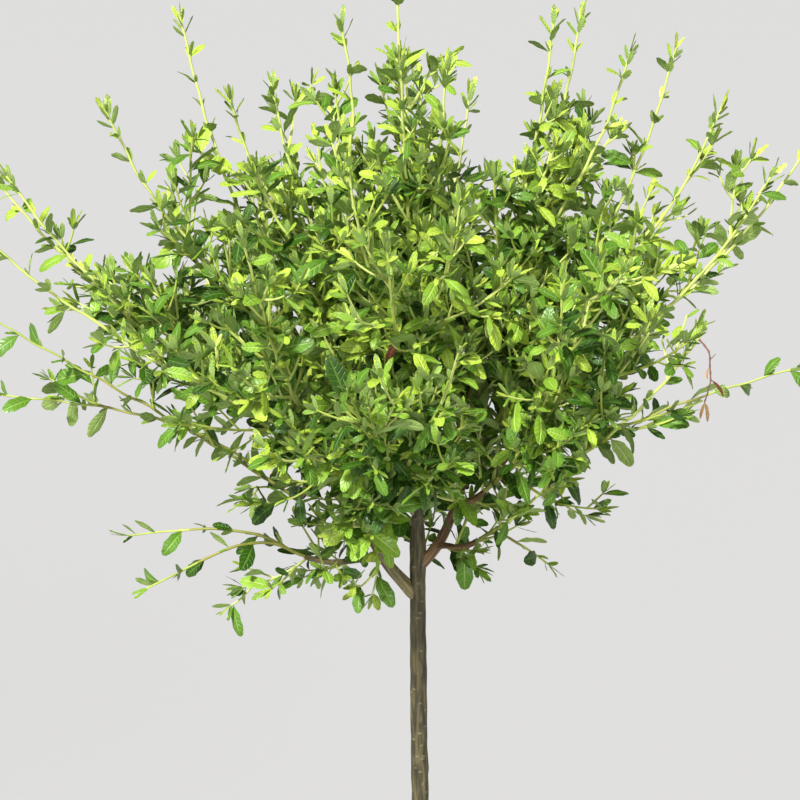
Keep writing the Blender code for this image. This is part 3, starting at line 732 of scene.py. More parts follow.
def leader_tones(count, habit):
    """The number of a leader's colour at each of its rings: olive near the wood, then green, then lime."""
    share = np.linspace(0.0, 1.0, count)
    return np.where(share < habit.olive_to, 0, np.where(share < habit.green_to, 1, 2))


def alternate_leaves(path, shares, tone, draw, tip_size):
    """Leaves at shares of a shoot's length, each turned on by the golden angle.

    Towards the shoot's tip they are smaller, down to the tip size, and younger, so of a fresher tone.
    """
    count = len(shares)
    share = np.asarray(shares)
    fresher = TONE_RISE * (share - TONE_RISES_FROM) + draw.uniform(*LEAF_TONES_VARY, count)
    root, along = points_along(path, shares)
    turn = draw.uniform(0, FULL_TURN) + GOLDEN_ANGLE * np.arange(count) + draw.uniform(*TURNS_VARY, count)
    size = LEAF_LENGTH * draw.uniform(*LEAF_SIZES, count) * (1 + (tip_size - 1) * share**2)
    return Leaves(
        root, along, turn,
        draw.uniform(*LEAF_SPREADS, count),
        draw.uniform(*LEAF_ROLLS, count),
        size,
        draw.uniform(*LEAF_WIDTHS, count),
        draw.uniform(*LEAF_BENDS, count),
        draw.uniform(*LEAF_FOLDS, count),
        np.clip(tone + fresher.round().astype(int), 0, GROWN_TONES - 1),
    )


def old_leaves(leaves):
    """The leaves of a level shoot under the crown: of the two darker tones, with their blades on edge."""
    roll = np.sign(leaves.roll) * (LOW_LEAF_ROLL + np.abs(leaves.roll) / 2)
    return leaves._replace(roll=roll, tone=np.minimum(leaves.tone, 1))


def axil_leaves(leaves, per_node, tone, draw):
    """Small young leaves in the axils of others: narrower, closer to the shoot, and turned to either side."""
    count = len(leaves.turn) * per_node
    side = np.tile(np.linspace(-1.0, 1.0, per_node), len(leaves.turn))
    return Leaves(
        np.repeat(leaves.root, per_node, axis=0),
        np.repeat(leaves.along, per_node, axis=0),
        np.repeat(leaves.turn, per_node) + side * AXIL_TURN + draw.uniform(*AXIL_TURNS_VARY, count),
        draw.uniform(*AXIL_SPREADS, count),
        draw.uniform(*LEAF_ROLLS, count),
        LEAF_LENGTH * draw.uniform(*AXIL_SIZES, count),
        draw.uniform(*AXIL_WIDTHS, count),
        draw.uniform(*AXIL_BENDS, count),
        draw.uniform(*AXIL_FOLDS, count),
        np.maximum(tone - draw.integers(0, AXIL_TONES, count), 1),
    )


def tip_tuft(path, count, tone, draw):
    """The upright narrow leaves that close a shoot: turned by the golden angle and hugging its end."""
    root, along = points_along(path, np.linspace(*TUFT_AT, count))
    return Leaves(
        root, along,
        draw.uniform(0, FULL_TURN) + GOLDEN_ANGLE * np.arange(count),
        np.linspace(*TUFT_SPREADS, count) + draw.uniform(*TUFT_SPREADS_VARY, count),
        draw.uniform(*LEAF_ROLLS, count),
        LEAF_LENGTH * draw.uniform(*TUFT_SIZES, count),
        draw.uniform(*TUFT_WIDTHS, count),
        draw.uniform(*TUFT_BENDS, count),
        draw.uniform(*TUFT_FOLDS, count),
        np.clip(np.linspace(tone - 2, tone + 1, count).astype(int), 1, tone),
    )


def joined_leaves(groups):
    """Several groups of leaves as one."""
    return Leaves(*[np.concatenate(columns) for columns in zip(*groups)])


def leaf_frames(leaves):
    """Each leaf's axis, width direction and upper side's direction.

    The axis leaves the shoot at the leaf's spread, turned round it. The upper side faces up and along the
    shoot, turned round the axis by the leaf's roll.
    """
    spread = np.radians(leaves.spread)[:, None]
    aside = side_directions(leaves.along, leaves.turn)
    axis = unit(leaves.along * np.cos(spread) + aside * np.sin(spread))
    above = unit(LEAF_FACES_ALONG * leaves.along + UP)
    across = np.cross(above, axis)
    weak = np.linalg.norm(across, axis=1, keepdims=True) < WEAK_CROSS
    spare = np.cross(side_directions(leaves.along, leaves.turn + QUARTER_TURN), axis)
    level = unit(np.where(weak, spare, across))
    roll = np.radians(leaves.roll)[:, None]
    across = level * np.cos(roll) + np.cross(axis, level) * np.sin(roll)
    return axis, across, np.cross(axis, across)


def kept_leaves(leaves, space):
    """The leaves whose blades stay in reach and off the wood."""
    axis, _, _ = leaf_frames(leaves)
    size = leaves.size[:, None]
    keep = in_reach(leaves.root + axis * size, space.walls) & in_reach(leaves.root + axis * size * 0.5, None)
    for share in BLADE_TESTS_AT:
        keep &= clear_of_limbs(leaves.root + axis * size * share, space.limbs, LEAF_CLEARANCE)
    return Leaves(*[column[keep] for column in leaves])


def density(point):
    """The share of twigs that stand at a point: all in the crown and round the fork, few under the crown.

    The crown's lower edge is an elevation seen from the fork. It hangs lower in front and at the back, and it
    tilts up to the right.
    """
    seen = point - FORK
    away = np.linalg.norm(seen)
    if away < LOW_MIDDLE:
        return 1.0
    right, back = seen[:2] / max(np.hypot(seen[0], seen[1]), NO_LENGTH)
    drop = EDGE_DROP_BACK if back > 0 else EDGE_DROP_FRONT
    edge = EDGE_ELEVATION + EDGE_TILT * right - drop * back**2
    elevation = math.degrees(math.asin(seen[2] / away))
    return min(max((elevation - edge) / EDGE_SOFTNESS + 0.5, LOW_SHARE), 1.0)


def grow_mass(name, index, lines, limbs):
    """A mass's leaders, side twigs and spurs, with its full-grown leaves and its young ones."""
    space = Space(space_walls(name), limbs)
    draw = np.random.default_rng(SEED * SEEDS_APART + index)
    growth = Growth([], [], [], [], [])
    for coarse in leader_lines(name, lines, space.walls):
        path, radii, nodes = zigzag_leader(coarse, draw.uniform(0, math.tau))
        low = density(path[-1]) <= LOW_SHARE
        habit = LOW_HABIT if low else CROWN_HABIT
        growth.leaders.append(Shoot(path, radii * habit.girth, leader_tones(len(path), habit)))
        tone = spray_tone(path[-1], draw)
        leaves = alternate_leaves(path, nodes[nodes > FIRST_LEAF_AT], tone, draw, habit.tip_leaf_size)
        if low:
            leaves = old_leaves(leaves)
        growth.grown.append(leaves)
        growth.young.append(axil_leaves(leaves, habit.axil_count, habit.young_tone, draw))
        growth.young.append(tip_tuft(path, habit.tuft_count, habit.young_tone, draw))
        grow_side_twigs(path, space, draw, growth)
    for group in (growth.grown, growth.young):
        group[:] = [kept_leaves(joined_leaves(group), space)]
    leafy_from = LEAFY_BOUGHS_FROM.get(name, BOUGH_TWIGS_FROM)
    grow_bough_twigs(lines[name][0], leafy_from, limbs, draw, growth)
    return growth


def grow_side_twigs(path, space, draw, growth):
    """Side twigs along a leader: shorter towards its tip, inside the dense crown, and few below its edge."""
    length = lengths_along(path)[-1]
    count = max(int(length * (LAST_TWIG_AT - FIRST_TWIG_AT) / SIDE_TWIG_GAP), 2)
    for share, root, along, turn in sprouts(path, np.linspace(FIRST_TWIG_AT, LAST_TWIG_AT, count), draw):
        reach = TWIG_LENGTH * (TWIG_LENGTH_AT_ROOT - TWIG_SHORTENS * share) * draw.uniform(*TWIG_LENGTHS)
        reach = min(reach, draw.uniform(*DENSE_REACHES) - np.linalg.norm(root - FORK))
        spread = TWIG_SPREAD + draw.uniform(*TWIG_SPREADS_VARY)
        twig = fitting_twig(root, along, turn, spread, reach, TWIG_STEPS, space)
        if twig is not None and draw.random() <= density(twig[-1]):
            grow_twig(twig, space, draw, growth)


def grow_bough_twigs(path, leafy_from, limbs, draw, growth):
    """Short leafy twigs along the outer part of a bough, which hide the forks low in the crown."""
    space = Space(None, limbs)
    first = len(growth.grown), len(growth.young)
    count = max(int(lengths_along(path)[-1] * (1 - leafy_from) / BOUGH_TWIG_GAP), 1)
    for _, root, along, turn in sprouts(path, np.linspace(leafy_from, BOUGH_TWIGS_TO, count), draw):
        length = draw.uniform(*BOUGH_TWIG_LENGTHS)
        twig = fitting_twig(root, along, turn, BOUGH_TWIG_SPREAD, length, TWIG_STEPS, space)
        if twig is not None:
            grow_twig(twig, space, draw, growth)
    for group, start in zip((growth.grown, growth.young), first):
        group[start:] = [kept_leaves(leaves, space) for leaves in group[start:]]


def grow_twig(path, space, draw, growth):
    """One side twig with its leaves, its spurs and theirs, all in one spray's tone."""
    tone = spray_tone(path[-1], draw)
    skin_tone = 1 if tone < 2 else 2
    tuft_tone = LIME if tone > 1 else LIME - 1
    growth.twigs.append(tapered_shoot(path, TWIG_RADIUS, skin_tone))
    length = lengths_along(path)[-1]
    shares = np.linspace(*TWIG_LEAVES_AT, max(int(length * TWIG_LEAFY_SHARE / TWIG_LEAF_GAP), 2))
    leaves = alternate_leaves(path, shares, tone, draw, CROWN_HABIT.tip_leaf_size)
    growth.grown.append(leaves)
    growth.young.append(axil_leaves(leaves, 1, tone + 1, draw))
    growth.young.append(tip_tuft(path, TWIG_TUFT, tuft_tone, draw))
    starts = np.linspace(*SPURS_AT, max(int(length / SPUR_GAP), 1))
    for share, root, along, turn in sprouts(path, starts, draw):
        reach = draw.uniform(*SPUR_LENGTHS) * (SPUR_LENGTH_AT_ROOT - SPUR_SHORTENS * share)
        spur = fitting_twig(root, along, turn, SPUR_SPREAD, reach, SPUR_STEPS, space)
        if spur is None:
            continue
        growth.spurs.append(tapered_shoot(spur, SPUR_RADIUS, skin_tone))
        shares = np.linspace(*SPUR_LEAVES_AT, max(int(reach / SPUR_LEAF_GAP), 2))
        growth.grown.append(alternate_leaves(spur, shares, tone, draw, SPUR_TIP_LEAF_SIZE))
        growth.young.append(tip_tuft(spur, SPUR_TUFT, tuft_tone, draw))


def tapered_shoot(path, radius, tone):
    """A twig or spur of one colour that narrows evenly to its tip."""
    return Shoot(path, np.linspace(radius, TWIG_TIP_RADIUS, len(path)), np.full(len(path), tone))


# Meshes

Block = namedtuple("Block", "points corners sizes materials place")


def ring_faces(rings, sides):
    """Corner numbers and sizes of the faces of a closed skin: a pole, rings of points, and a second pole.

    The poles are numbered 0 and last, and ring i's point j is 1 + i * sides + j.
    """
    ring = 1 + np.arange(rings * sides).reshape(rings, sides)
    turned = np.roll(ring, -1, axis=1)
    quads = np.stack((ring[:-1], turned[:-1], turned[1:], ring[1:]), axis=-1).reshape(-1, 4)
    start = np.stack((np.zeros(sides, int), turned[0], ring[0]), axis=-1)
    end = np.stack((np.full(sides, rings * sides + 1), ring[-1], turned[-1]), axis=-1)
    corners = np.concatenate((start.ravel(), quads.ravel(), end.ravel()))
    sizes = np.concatenate((np.full(sides, 3), np.full(len(quads), 4), np.full(sides, 3)))
    return corners, sizes


def repeated(points, corners, sizes, materials, place):
    """A block of many copies of one set of faces, from the points and materials of each copy."""
    copies, per_copy = points.shape[:2]
    offsets = per_copy * np.arange(copies)[:, None]
    return Block(
        points.reshape(-1, 3),
        (corners[None, :] + offsets).ravel(),
        np.tile(sizes, copies),
        materials.ravel(),
        place.reshape(-1, 3),
    )


def tubes(paths, radii, sides, materials):
    """Closed tubes along paths: each ring is a point plus its radius times a circle square to the path.

    paths is (tubes, rings, 3). radii is (tubes, rings), or (tubes, rings, sides) where the skin has relief.
    materials holds one number for each tube and ring. The place is the straightened tube's own coordinates.
    """
    count, rings = paths.shape[:2]
    steps = np.linalg.norm(np.diff(paths, axis=1), axis=2)
    lengths = np.concatenate((np.zeros((count, 1)), np.cumsum(steps, axis=1)), axis=1)
    along = unit(np.gradient(paths, axis=1))
    chord = unit(paths[:, -1] - paths[:, 0])
    guide = np.where(np.abs(chord[:, 2:]) > UPRIGHT, ACROSS, UP)[:, None, :]
    side = unit(np.cross(guide, along))
    over = np.cross(along, side)
    angle = math.tau * np.arange(sides) / sides
    if radii.ndim == 2:
        radii = np.repeat(radii[:, :, None], sides, axis=2)
    ring = side[:, :, None] * np.cos(angle)[:, None] + over[:, :, None] * np.sin(angle)[:, None]
    skin = paths[:, :, None] + ring * radii[..., None]
    points = np.concatenate((paths[:, :1], skin.reshape(count, -1, 3), paths[:, -1:]), axis=1)
    heights = np.repeat(lengths[:, :, None], sides, axis=2)
    straight = np.stack((radii * np.cos(angle), radii * np.sin(angle), heights), axis=-1)
    near_end, far_end = np.zeros((2, count, 1, 3))
    far_end[:, 0, 2] = lengths[:, -1]
    place = np.concatenate((near_end, straight.reshape(count, -1, 3), far_end), axis=1)
    corners, sizes = ring_faces(rings, sides)
    bands = np.concatenate((materials[:, :1], materials[:, :-1], materials[:, -1:]), axis=1)
    return repeated(points, corners, sizes, np.repeat(bands, sides, axis=1), place)


def leaf_faces(rows, columns):
    """Corner numbers, sizes and sides (0 upper, 1 under) of a closed leaf's faces.

    Point 0 is the root, then come the upper side's rows, the tip, and the underside's midrib. The underside
    shares the upper side's margins. Fans of triangles close the root and the tip.
    """
    upper = 1 + np.arange(rows * columns).reshape(rows, columns)
    tip = rows * columns + 1
    rib = tip + 1 + np.arange(rows)
    under = np.stack((upper[:, -1], rib, upper[:, 0]), axis=-1)
    corners, sizes, sides = [], [], []
    for number, sheet in enumerate((upper, under)):
        quads = np.stack((sheet[:-1, :-1], sheet[1:, :-1], sheet[1:, 1:], sheet[:-1, 1:]), axis=-1)
        width = sheet.shape[1] - 1
        root_fan = np.stack((np.zeros(width, int), sheet[0, :-1], sheet[0, 1:]), axis=-1)
        tip_fan = np.stack((sheet[-1, :-1], np.full(width, tip), sheet[-1, 1:]), axis=-1)
        for faces in (root_fan, quads.reshape(-1, 4), tip_fan):
            corners.append(faces.ravel())
            sizes.append(np.full(len(faces), faces.shape[1]))
            sides.append(np.full(len(faces), number))
    return np.concatenate(corners), np.concatenate(sizes), np.concatenate(sides)


def leaf_block(leaves, rows, half_widths, columns, underside):
    """Many leaves, each a closed blade on a grid of u along it and v across it, from -1 to 1.

    The midrib is an arc that turns down by the leaf's bend. A point lies v times the half width out from it,
    raised by the fold, lowered near the margin by the curl, and waved along the margin. Every other row is a
    little wider, so the margin is toothed. The underside's midrib lies one thickness below the upper one.
    """
    count = len(leaves.size)
    axis, across, above = leaf_frames(leaves)
    u = np.array(rows)
    v = np.linspace(-1.0, 1.0, columns)
    length = leaves.size[:, None]
    bend = leaves.bend[:, None] + NO_BEND
    teeth = 1.0 + LEAF_TEETH * (-1.0) ** np.arange(len(rows))
    half = length * leaves.width[:, None] / 2 * np.array(half_widths) * teeth

    def midrib(share):
        """How far the midrib has gone forward and up at a share of its length."""
        return length * np.sin(bend * share) / bend, -length * (1 - np.cos(bend * share)) / bend

    def placed(x, y, z):
        """Points of the blade's own frame, put where each leaf stands."""
        local = x[..., None] * axis[:, None] + y[..., None] * across[:, None] + z[..., None] * above[:, None]
        return leaves.root[:, None] + local

    forward, drop = midrib(u[None, :])
    fold = leaves.fold[:, None, None]
    reach = np.abs(v)[None, None, :]
    wave = LEAF_WAVE * np.sin(LEAF_WAVES * u + LEAF_WAVE_PHASE)[None, :, None] * np.sign(v)[None, None, :]
    lift = half[..., None] * (reach * np.sin(fold) - LEAF_CURL * reach**4 + wave * reach**2)
    out = half[..., None] * v * np.cos(fold)
    x = np.repeat(forward[..., None], columns, axis=2)
    z = drop[..., None] + lift
    flat = (count, len(rows) * columns)
    upper = placed(x.reshape(flat), out.reshape(flat), z.reshape(flat))
    tip_x, tip_z = midrib(np.ones((1, 1)))
    root = placed(*[np.zeros((count, 1))] * 3)
    tip = placed(tip_x, np.zeros((count, 1)), tip_z)
    rib = placed(forward, np.zeros(forward.shape), drop - LEAF_THICKNESS)
    points = np.concatenate((root, upper, tip, rib), axis=1)
    u_all = np.concatenate(([0.0], np.repeat(u, columns), [1.0], u))
    v_all = np.concatenate(([0.0], np.tile(v, len(rows)), [0.0], np.zeros(len(rows))))
    place = np.tile(np.column_stack((u_all, v_all, np.zeros(len(u_all)))), (count, 1, 1))
    corners, sizes, sides = leaf_faces(len(rows), columns)
    materials = np.where(sides[None, :] == 1, underside, leaves.tone[:, None])
    return repeated(points, corners, sizes, materials, place)


def grown_block(leaves, underside):
    """Full-grown leaves, whose blades have many rows."""
    return leaf_block(leaves, LEAF_ROWS, LEAF_HALF_WIDTHS, LEAF_COLUMNS, underside)


def joined_mesh(name, blocks, materials):
    """One mesh from blocks of points and faces, with each point's place as an attribute."""
    firsts = np.cumsum([0] + [len(block.points) for block in blocks])
    points = np.concatenate([block.points for block in blocks])
    corners = np.concatenate([block.corners + first for block, first in zip(blocks, firsts)])
    sizes = np.concatenate([block.sizes for block in blocks])
    mesh = bpy.data.meshes.new(name)
    mesh.vertices.add(len(points))
    mesh.vertices.foreach_set("co", points.astype(np.float32).ravel())
    mesh.loops.add(len(corners))
    mesh.loops.foreach_set("vertex_index", corners.astype(np.int32))
    mesh.polygons.add(len(sizes))
    starts = np.concatenate(([0], np.cumsum(sizes)[:-1]))
    mesh.polygons.foreach_set("loop_start", starts.astype(np.int32))
    mesh.update(calc_edges=True)
    numbers = np.concatenate([block.materials for block in blocks])
    mesh.polygons.foreach_set("material_index", numbers.astype(np.int32))
    place = np.concatenate([block.place for block in blocks])
    attribute = mesh.attributes.new("surface_place", "FLOAT_VECTOR", "POINT")
    attribute.data.foreach_set("vector", place.astype(np.float32).ravel())
    for material in materials:
        mesh.materials.append(material)
    return mesh


def mesh_piece(name, blocks, materials, sharp_angle=SHARP_ANGLE, bars=None):
    """One mesh object from blocks of points and faces, which rides on the plant.

    Bars are closed blocks that are cut out of it.
    """
    piece = bpy.data.objects.new(name, joined_mesh(name, blocks, materials))
    bpy.context.scene.collection.objects.link(piece)
    if bars:
        cut_out(piece, bars)
    piece.data.shade_smooth()
    piece.data.set_sharp_from_angle(angle=math.radians(sharp_angle))
    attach(piece, "root")
    return piece


def cut_out(piece, blocks):
    """Cuts closed blocks out of a piece."""
    cutter = bpy.data.objects.new("cutter", joined_mesh("cutter", blocks, []))
    bpy.context.scene.collection.objects.link(cutter)
    cut = piece.modifiers.new("cut", "BOOLEAN")
    cut.operation = "DIFFERENCE"
    cut.solver = "EXACT"
    cut.object = cutter
    graph = bpy.context.evaluated_depsgraph_get()
    piece.data = bpy.data.meshes.new_from_object(piece.evaluated_get(graph))
    piece.modifiers.clear()
    bpy.data.objects.remove(cutter)


# Wood


def bark_relief(lengths, sides, draw):
    """How far bark stands out at each ring and side: seeded waves that run along the limb, and leaf scars.

    A wave has a whole number of crests round the limb and leans as it goes up. A scar is a round bump.
    """
    turn = math.tau * np.arange(sides) / sides
    relief = np.zeros((len(lengths), sides))
    for _ in range(FURROW_WAVES):
        crests = draw.integers(*FURROW_CRESTS)
        lean = math.tau * lengths[:, None] / draw.uniform(*FURROW_LENGTHS)
        relief += FURROW_DEPTH * np.cos(crests * turn[None, :] + lean + draw.uniform(0, math.tau))
    for place in np.arange(draw.uniform(FIRST_SCAR_AT, SCAR_GAP), lengths[-1], SCAR_GAP):
        side = draw.uniform(0, math.tau)
        away = np.abs((turn - side + math.pi) % math.tau - math.pi)
        along = (lengths[:, None] - place) / SCAR_WIDTH
        hump = np.exp(-(along**2) - (away[None, :] / SCAR_TURN) ** 2)
        relief += SCAR_HEIGHT * draw.uniform(*SCAR_HEIGHTS) * hump
    return relief


def limb_block(path, radii, sides, collar, seed, material):
    """A limb with its bark's relief, and a collar that swells where it comes out of its parent.

    It starts in the middle of its parent, where it is slimmer, so its end stays hidden in there.
    """
    fine = smooth_path(path, LIMB_RING_GAP)
    lengths = lengths_along(fine)
    radius = np.interp(lengths, lengths_along(path), radii)
    outside = lengths - COLLAR_AT * radii[0]
    slimmer = np.clip(-outside / radii[0], 0.0, COLLAR_SLIMS)
    swell = 1.0 + collar * (np.exp(-((outside / COLLAR_LENGTH) ** 2)) - slimmer)
    draw = np.random.default_rng(seed)
    relief = bark_relief(lengths, sides, draw) * np.minimum(radius / TRUNK_RADIUS, 1.0)[:, None]
    skin = (radius * swell)[:, None] + relief
    return tubes(fine[None], skin[None], sides, np.full((1, len(fine)), material))


def make_wood(lines, materials):
    """The trunk with the leading bough that goes on from it, and the other boughs."""
    trunk_path, trunk_radii = lines["trunk"]
    top_path, top_radii = lines["crown_top"]
    path = np.vstack((trunk_path, top_path[1:]))
    radii = np.concatenate((trunk_radii, top_radii[1:]))
    block = limb_block(path, radii, TRUNK_SIDES, 0.0, SEED, 0)
    trunk = mesh_piece("trunk_bark", [block], [materials["bark_trunk"]])
    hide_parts("trunk", "bough_crown_top")
    names = [name for name in MASSES if name != "crown_top"]
    blocks = [
        limb_block(*lines[name], BOUGH_SIDES, COLLAR_SWELL, SEED + 1 + i, int(name in RED_BOUGHS))
        for i, name in enumerate(names)
    ]
    boughs = mesh_piece("bough_bark", blocks, [materials["bark_bough"], materials["bark_red"]])
    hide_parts(*["bough_" + name for name in names])


# Foliage


def shoot_blocks(growth):
    """Tubes for a mass's shoots: a block for each leader, one for all its twigs and one for all its spurs."""
    groups = [([leader], LEADER_SIDES) for leader in growth.leaders]
    groups += [(growth.twigs, TWIG_SIDES), (growth.spurs, TWIG_SIDES)]
    blocks = []
    for group, sides in groups:
        if group:
            paths, radii, tones = [np.stack(column) for column in zip(*group)]
            blocks.append(tubes(paths, radii, sides, tones))
    return blocks


def make_foliage(lines, materials):
    """Every mass's shoots and leaves, as one piece of each for each mass, and the dead growth among them."""
    paths = {}
    limbs = limb_points(lines)
    shoots = [materials[key] for key in SHOOT_TONES]
    tones = [materials[key] for key in LEAF_TONES] + [materials["leaf_underside"]]
    underside = len(LEAF_TONES)
    for index, name in enumerate(MASSES):
        growth = grow_mass(name, index, lines, limbs)
        young = joined_leaves(growth.young)
        blades = [
            grown_block(joined_leaves(growth.grown), underside),
            leaf_block(young, YOUNG_ROWS, YOUNG_HALF_WIDTHS, YOUNG_COLUMNS, underside),
        ]
        for start, blocks, looks in (("twigs_", shoot_blocks(growth), shoots), ("leaves_", blades, tones)):
            piece = mesh_piece(start + name, blocks, looks)
            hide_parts("foliage_" + name)
        paths[name] = [leader.path for leader in growth.leaders]
    make_dead_twig(paths[DEAD_TWIG_MASS][DEAD_TWIG_LEADER], materials)
    make_withered_leaves(paths, materials)


def crooked(steps, draw):
    """A dry twig's path: straight between crooks, with small seeded ones besides those at its steps."""
    lengths = lengths_along(steps)
    at = np.union1d(np.arange(0.0, lengths[-1], DEAD_TWIG_CROOK_GAP), lengths)
    crooks = np.column_stack([np.interp(at, lengths, steps[:, k]) for k in range(3)])
    crooks[1:] += draw.uniform(-DEAD_TWIG_CROOK, DEAD_TWIG_CROOK, (len(at) - 1, 3))
    return points_along(crooks, np.linspace(0.0, 1.0, int(lengths[-1] / DEAD_TWIG_RING_GAP)))[0]


def dead_leaves_piece(name, leaves, materials):
    """Dry leaves as a piece of their own: brown above and pale underneath."""
    looks = [materials["dead_leaf"], materials["dead_leaf_pale"]]
    mesh_piece(name, [grown_block(leaves, 1)], looks)


def make_dead_twig(leader_path, materials):
    """The dead twig with a stub and its shrivelled leaves, hanging from the tip of its leader."""
    draw = np.random.default_rng(SEED)
    tip, along = point_at(leader_path, DEAD_TWIG_AT)
    outwards = unit(along * np.array((1.0, 1.0, 0.0)))
    path = crooked(np.array([tip + outwards * out + UP * up for out, up in DEAD_TWIG_STEPS]), draw)
    share = np.linspace(0.0, 1.0, len(path))
    knobs = DEAD_TWIG_KNOB * np.sin(share * DEAD_TWIG_KNOBS)
    radii = DEAD_TWIG_RADIUS * (DEAD_TWIG_GIRTH - DEAD_TWIG_NARROWS * share + knobs)
    stub_share = np.linspace(0.0, 1.0, DEAD_STUB_RINGS)[:, None]
    stub = points_along(path, [DEAD_STUB_AT])[0] + stub_share * (unit(outwards + UP) * DEAD_STUB_LENGTH)
    stub_radii = np.linspace(*DEAD_STUB_GIRTHS, DEAD_STUB_RINGS) * DEAD_TWIG_RADIUS
    blocks = [
        tubes(line[None], radius[None], LEADER_SIDES, np.zeros((1, len(line)), int))
        for line, radius in ((path, radii), (stub, stub_radii))
    ]
    mesh_piece("dead_twig", blocks, [materials["dead_wood"]])
    place, turn, spread, size, bend, tone = np.array(DEAD_LEAVES).T
    root, direction = points_along(path, place)
    alike = (DEAD_LEAF_ROLL, DEAD_LEAF_WIDTH, DEAD_LEAF_FOLD)
    roll, width, fold = [np.full(len(place), value) for value in alike]
    leaves = Leaves(root, direction, turn, spread, roll, size, width, bend, fold, tone.astype(int))
    dead_leaves_piece("dead_leaves", leaves, materials)


def make_withered_leaves(paths, materials):
    """Single brown leaves, curled up and hanging, along some of the leaders."""
    draw = np.random.default_rng(SEED)
    count = len(WITHERED_LEAVES)
    spots = [points_along(paths[name][leader], [share]) for name, leader, share, _ in WITHERED_LEAVES]
    leaves = Leaves(
        np.vstack([root for root, _ in spots]),
        np.vstack([along for _, along in spots]),
        np.array([turn for *_, turn in WITHERED_LEAVES], float),
        draw.uniform(*WITHERED_SPREADS, count),
        draw.uniform(*LEAF_ROLLS, count),
        LEAF_LENGTH * draw.uniform(*WITHERED_SIZES, count),
        np.full(count, WITHERED_WIDTH),
        draw.uniform(*WITHERED_BENDS, count),
        draw.uniform(*WITHERED_FOLDS, count),
        np.zeros(count, int),
    )
    dead_leaves_piece("withered_leaves", leaves, materials)


# Pot and soil


def turned_block(radius, height, steps, rise=0.0):
    """A closed skin turned round Z, from a pole below to a pole above.

    Its rings lie at each (radius, height), and rise lifts single points of them.
    """
    angle = math.tau * np.arange(steps) / steps
    x = radius[:, None] * np.cos(angle)
    y = radius[:, None] * np.sin(angle)
    z = height[:, None] + rise + np.zeros_like(x)
    rings = np.stack((x, y, z), axis=-1).reshape(-1, 3)
    poles = [(0.0, 0.0, z[end].mean()) for end in (0, -1)]
    points = np.vstack((poles[0], rings, poles[1]))
    corners, sizes = ring_faces(len(radius), steps)
    return Block(points, corners, sizes, np.zeros(len(sizes), int), points)


def rounded(corner_points, rounds):
    """A profile with its corners rounded: each corner is a quadratic curve between points its round away."""
    points = []
    t = np.linspace(0.0, 1.0, CORNER_STEPS)[:, None]
    for i, (corner, size) in enumerate(zip(corner_points, rounds)):
        corner = np.array(corner)
        if size == 0.0:
            points.append(corner[None])
            continue
        before = np.array(corner_points[i - 1]) - corner
        after = np.array(corner_points[i + 1]) - corner
        first = corner + unit(before) * size
        last = corner + unit(after) * size
        points.append(first * (1 - t) ** 2 + 2 * corner * t * (1 - t) + last * t**2)
    return np.vstack(points)


def drain_bars():
    """Upright round bars through the pot's floor, spread evenly round a circle, to cut the drain holes."""
    bar = turned_block(np.full(2, DRAIN_RADIUS), np.array((-POT_FLOOR, 2 * POT_FLOOR)), DRAIN_SIDES)
    angle = math.tau * np.arange(DRAIN_COUNT) / DRAIN_COUNT
    places = DRAIN_CIRCLE * np.column_stack((np.cos(angle), np.sin(angle), np.zeros(DRAIN_COUNT)))
    return [bar._replace(points=bar.points + place) for place in places]


def make_pot(materials):
    """A thin-walled moulded pot: a recessed underside with drain holes, a tapering wall and a stepped rim."""
    rim_foot = POT_HEIGHT - RIM_HEIGHT
    mouth = pot_radius(POT_HEIGHT)
    foot = POT_FOOT_RADIUS
    corners_and_rounds = [
        ((MIDDLE_RADIUS, FOOT_RECESS), 0.0),
        ((foot - FOOT_RING_TOP, FOOT_RECESS), SMALL_ROUND),
        ((foot - FOOT_RING, 0.0), SMALL_ROUND),
        ((foot, 0.0), FOOT_ROUND),
        ((pot_radius(rim_foot), rim_foot - RIM_LIP), RIM_ROUND),
        ((pot_radius(rim_foot) + RIM_LIP, rim_foot), SMALL_ROUND),
        ((mouth + RIM_LIP, POT_HEIGHT), LIP_ROUND),
        ((mouth - POT_WALL, POT_HEIGHT), INNER_LIP_ROUND),
        ((pot_radius(POT_FLOOR) - POT_WALL, POT_FLOOR), FOOT_ROUND),
        ((MIDDLE_RADIUS, POT_FLOOR), 0.0),
    ]
    profile = rounded(*zip(*corners_and_rounds))
    block = turned_block(profile[:, 0], profile[:, 1], ROUND_STEPS)
    pot = mesh_piece("pot_shell", [block], [materials["pot_plastic"]], POT_SHARP_ANGLE, drain_bars())
    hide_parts("pot")


def soil_height(radius):
    """The soil's surface: flat round the stem and falling gently to the wall."""
    edge = pot_radius(soil_top()) - POT_WALL - CLEAR
    share = (radius - SOIL_FLAT_RADIUS) / (edge - SOIL_FLAT_RADIUS)
    return soil_top() - SOIL_CROWN * np.clip(share, 0.0, 1.0)


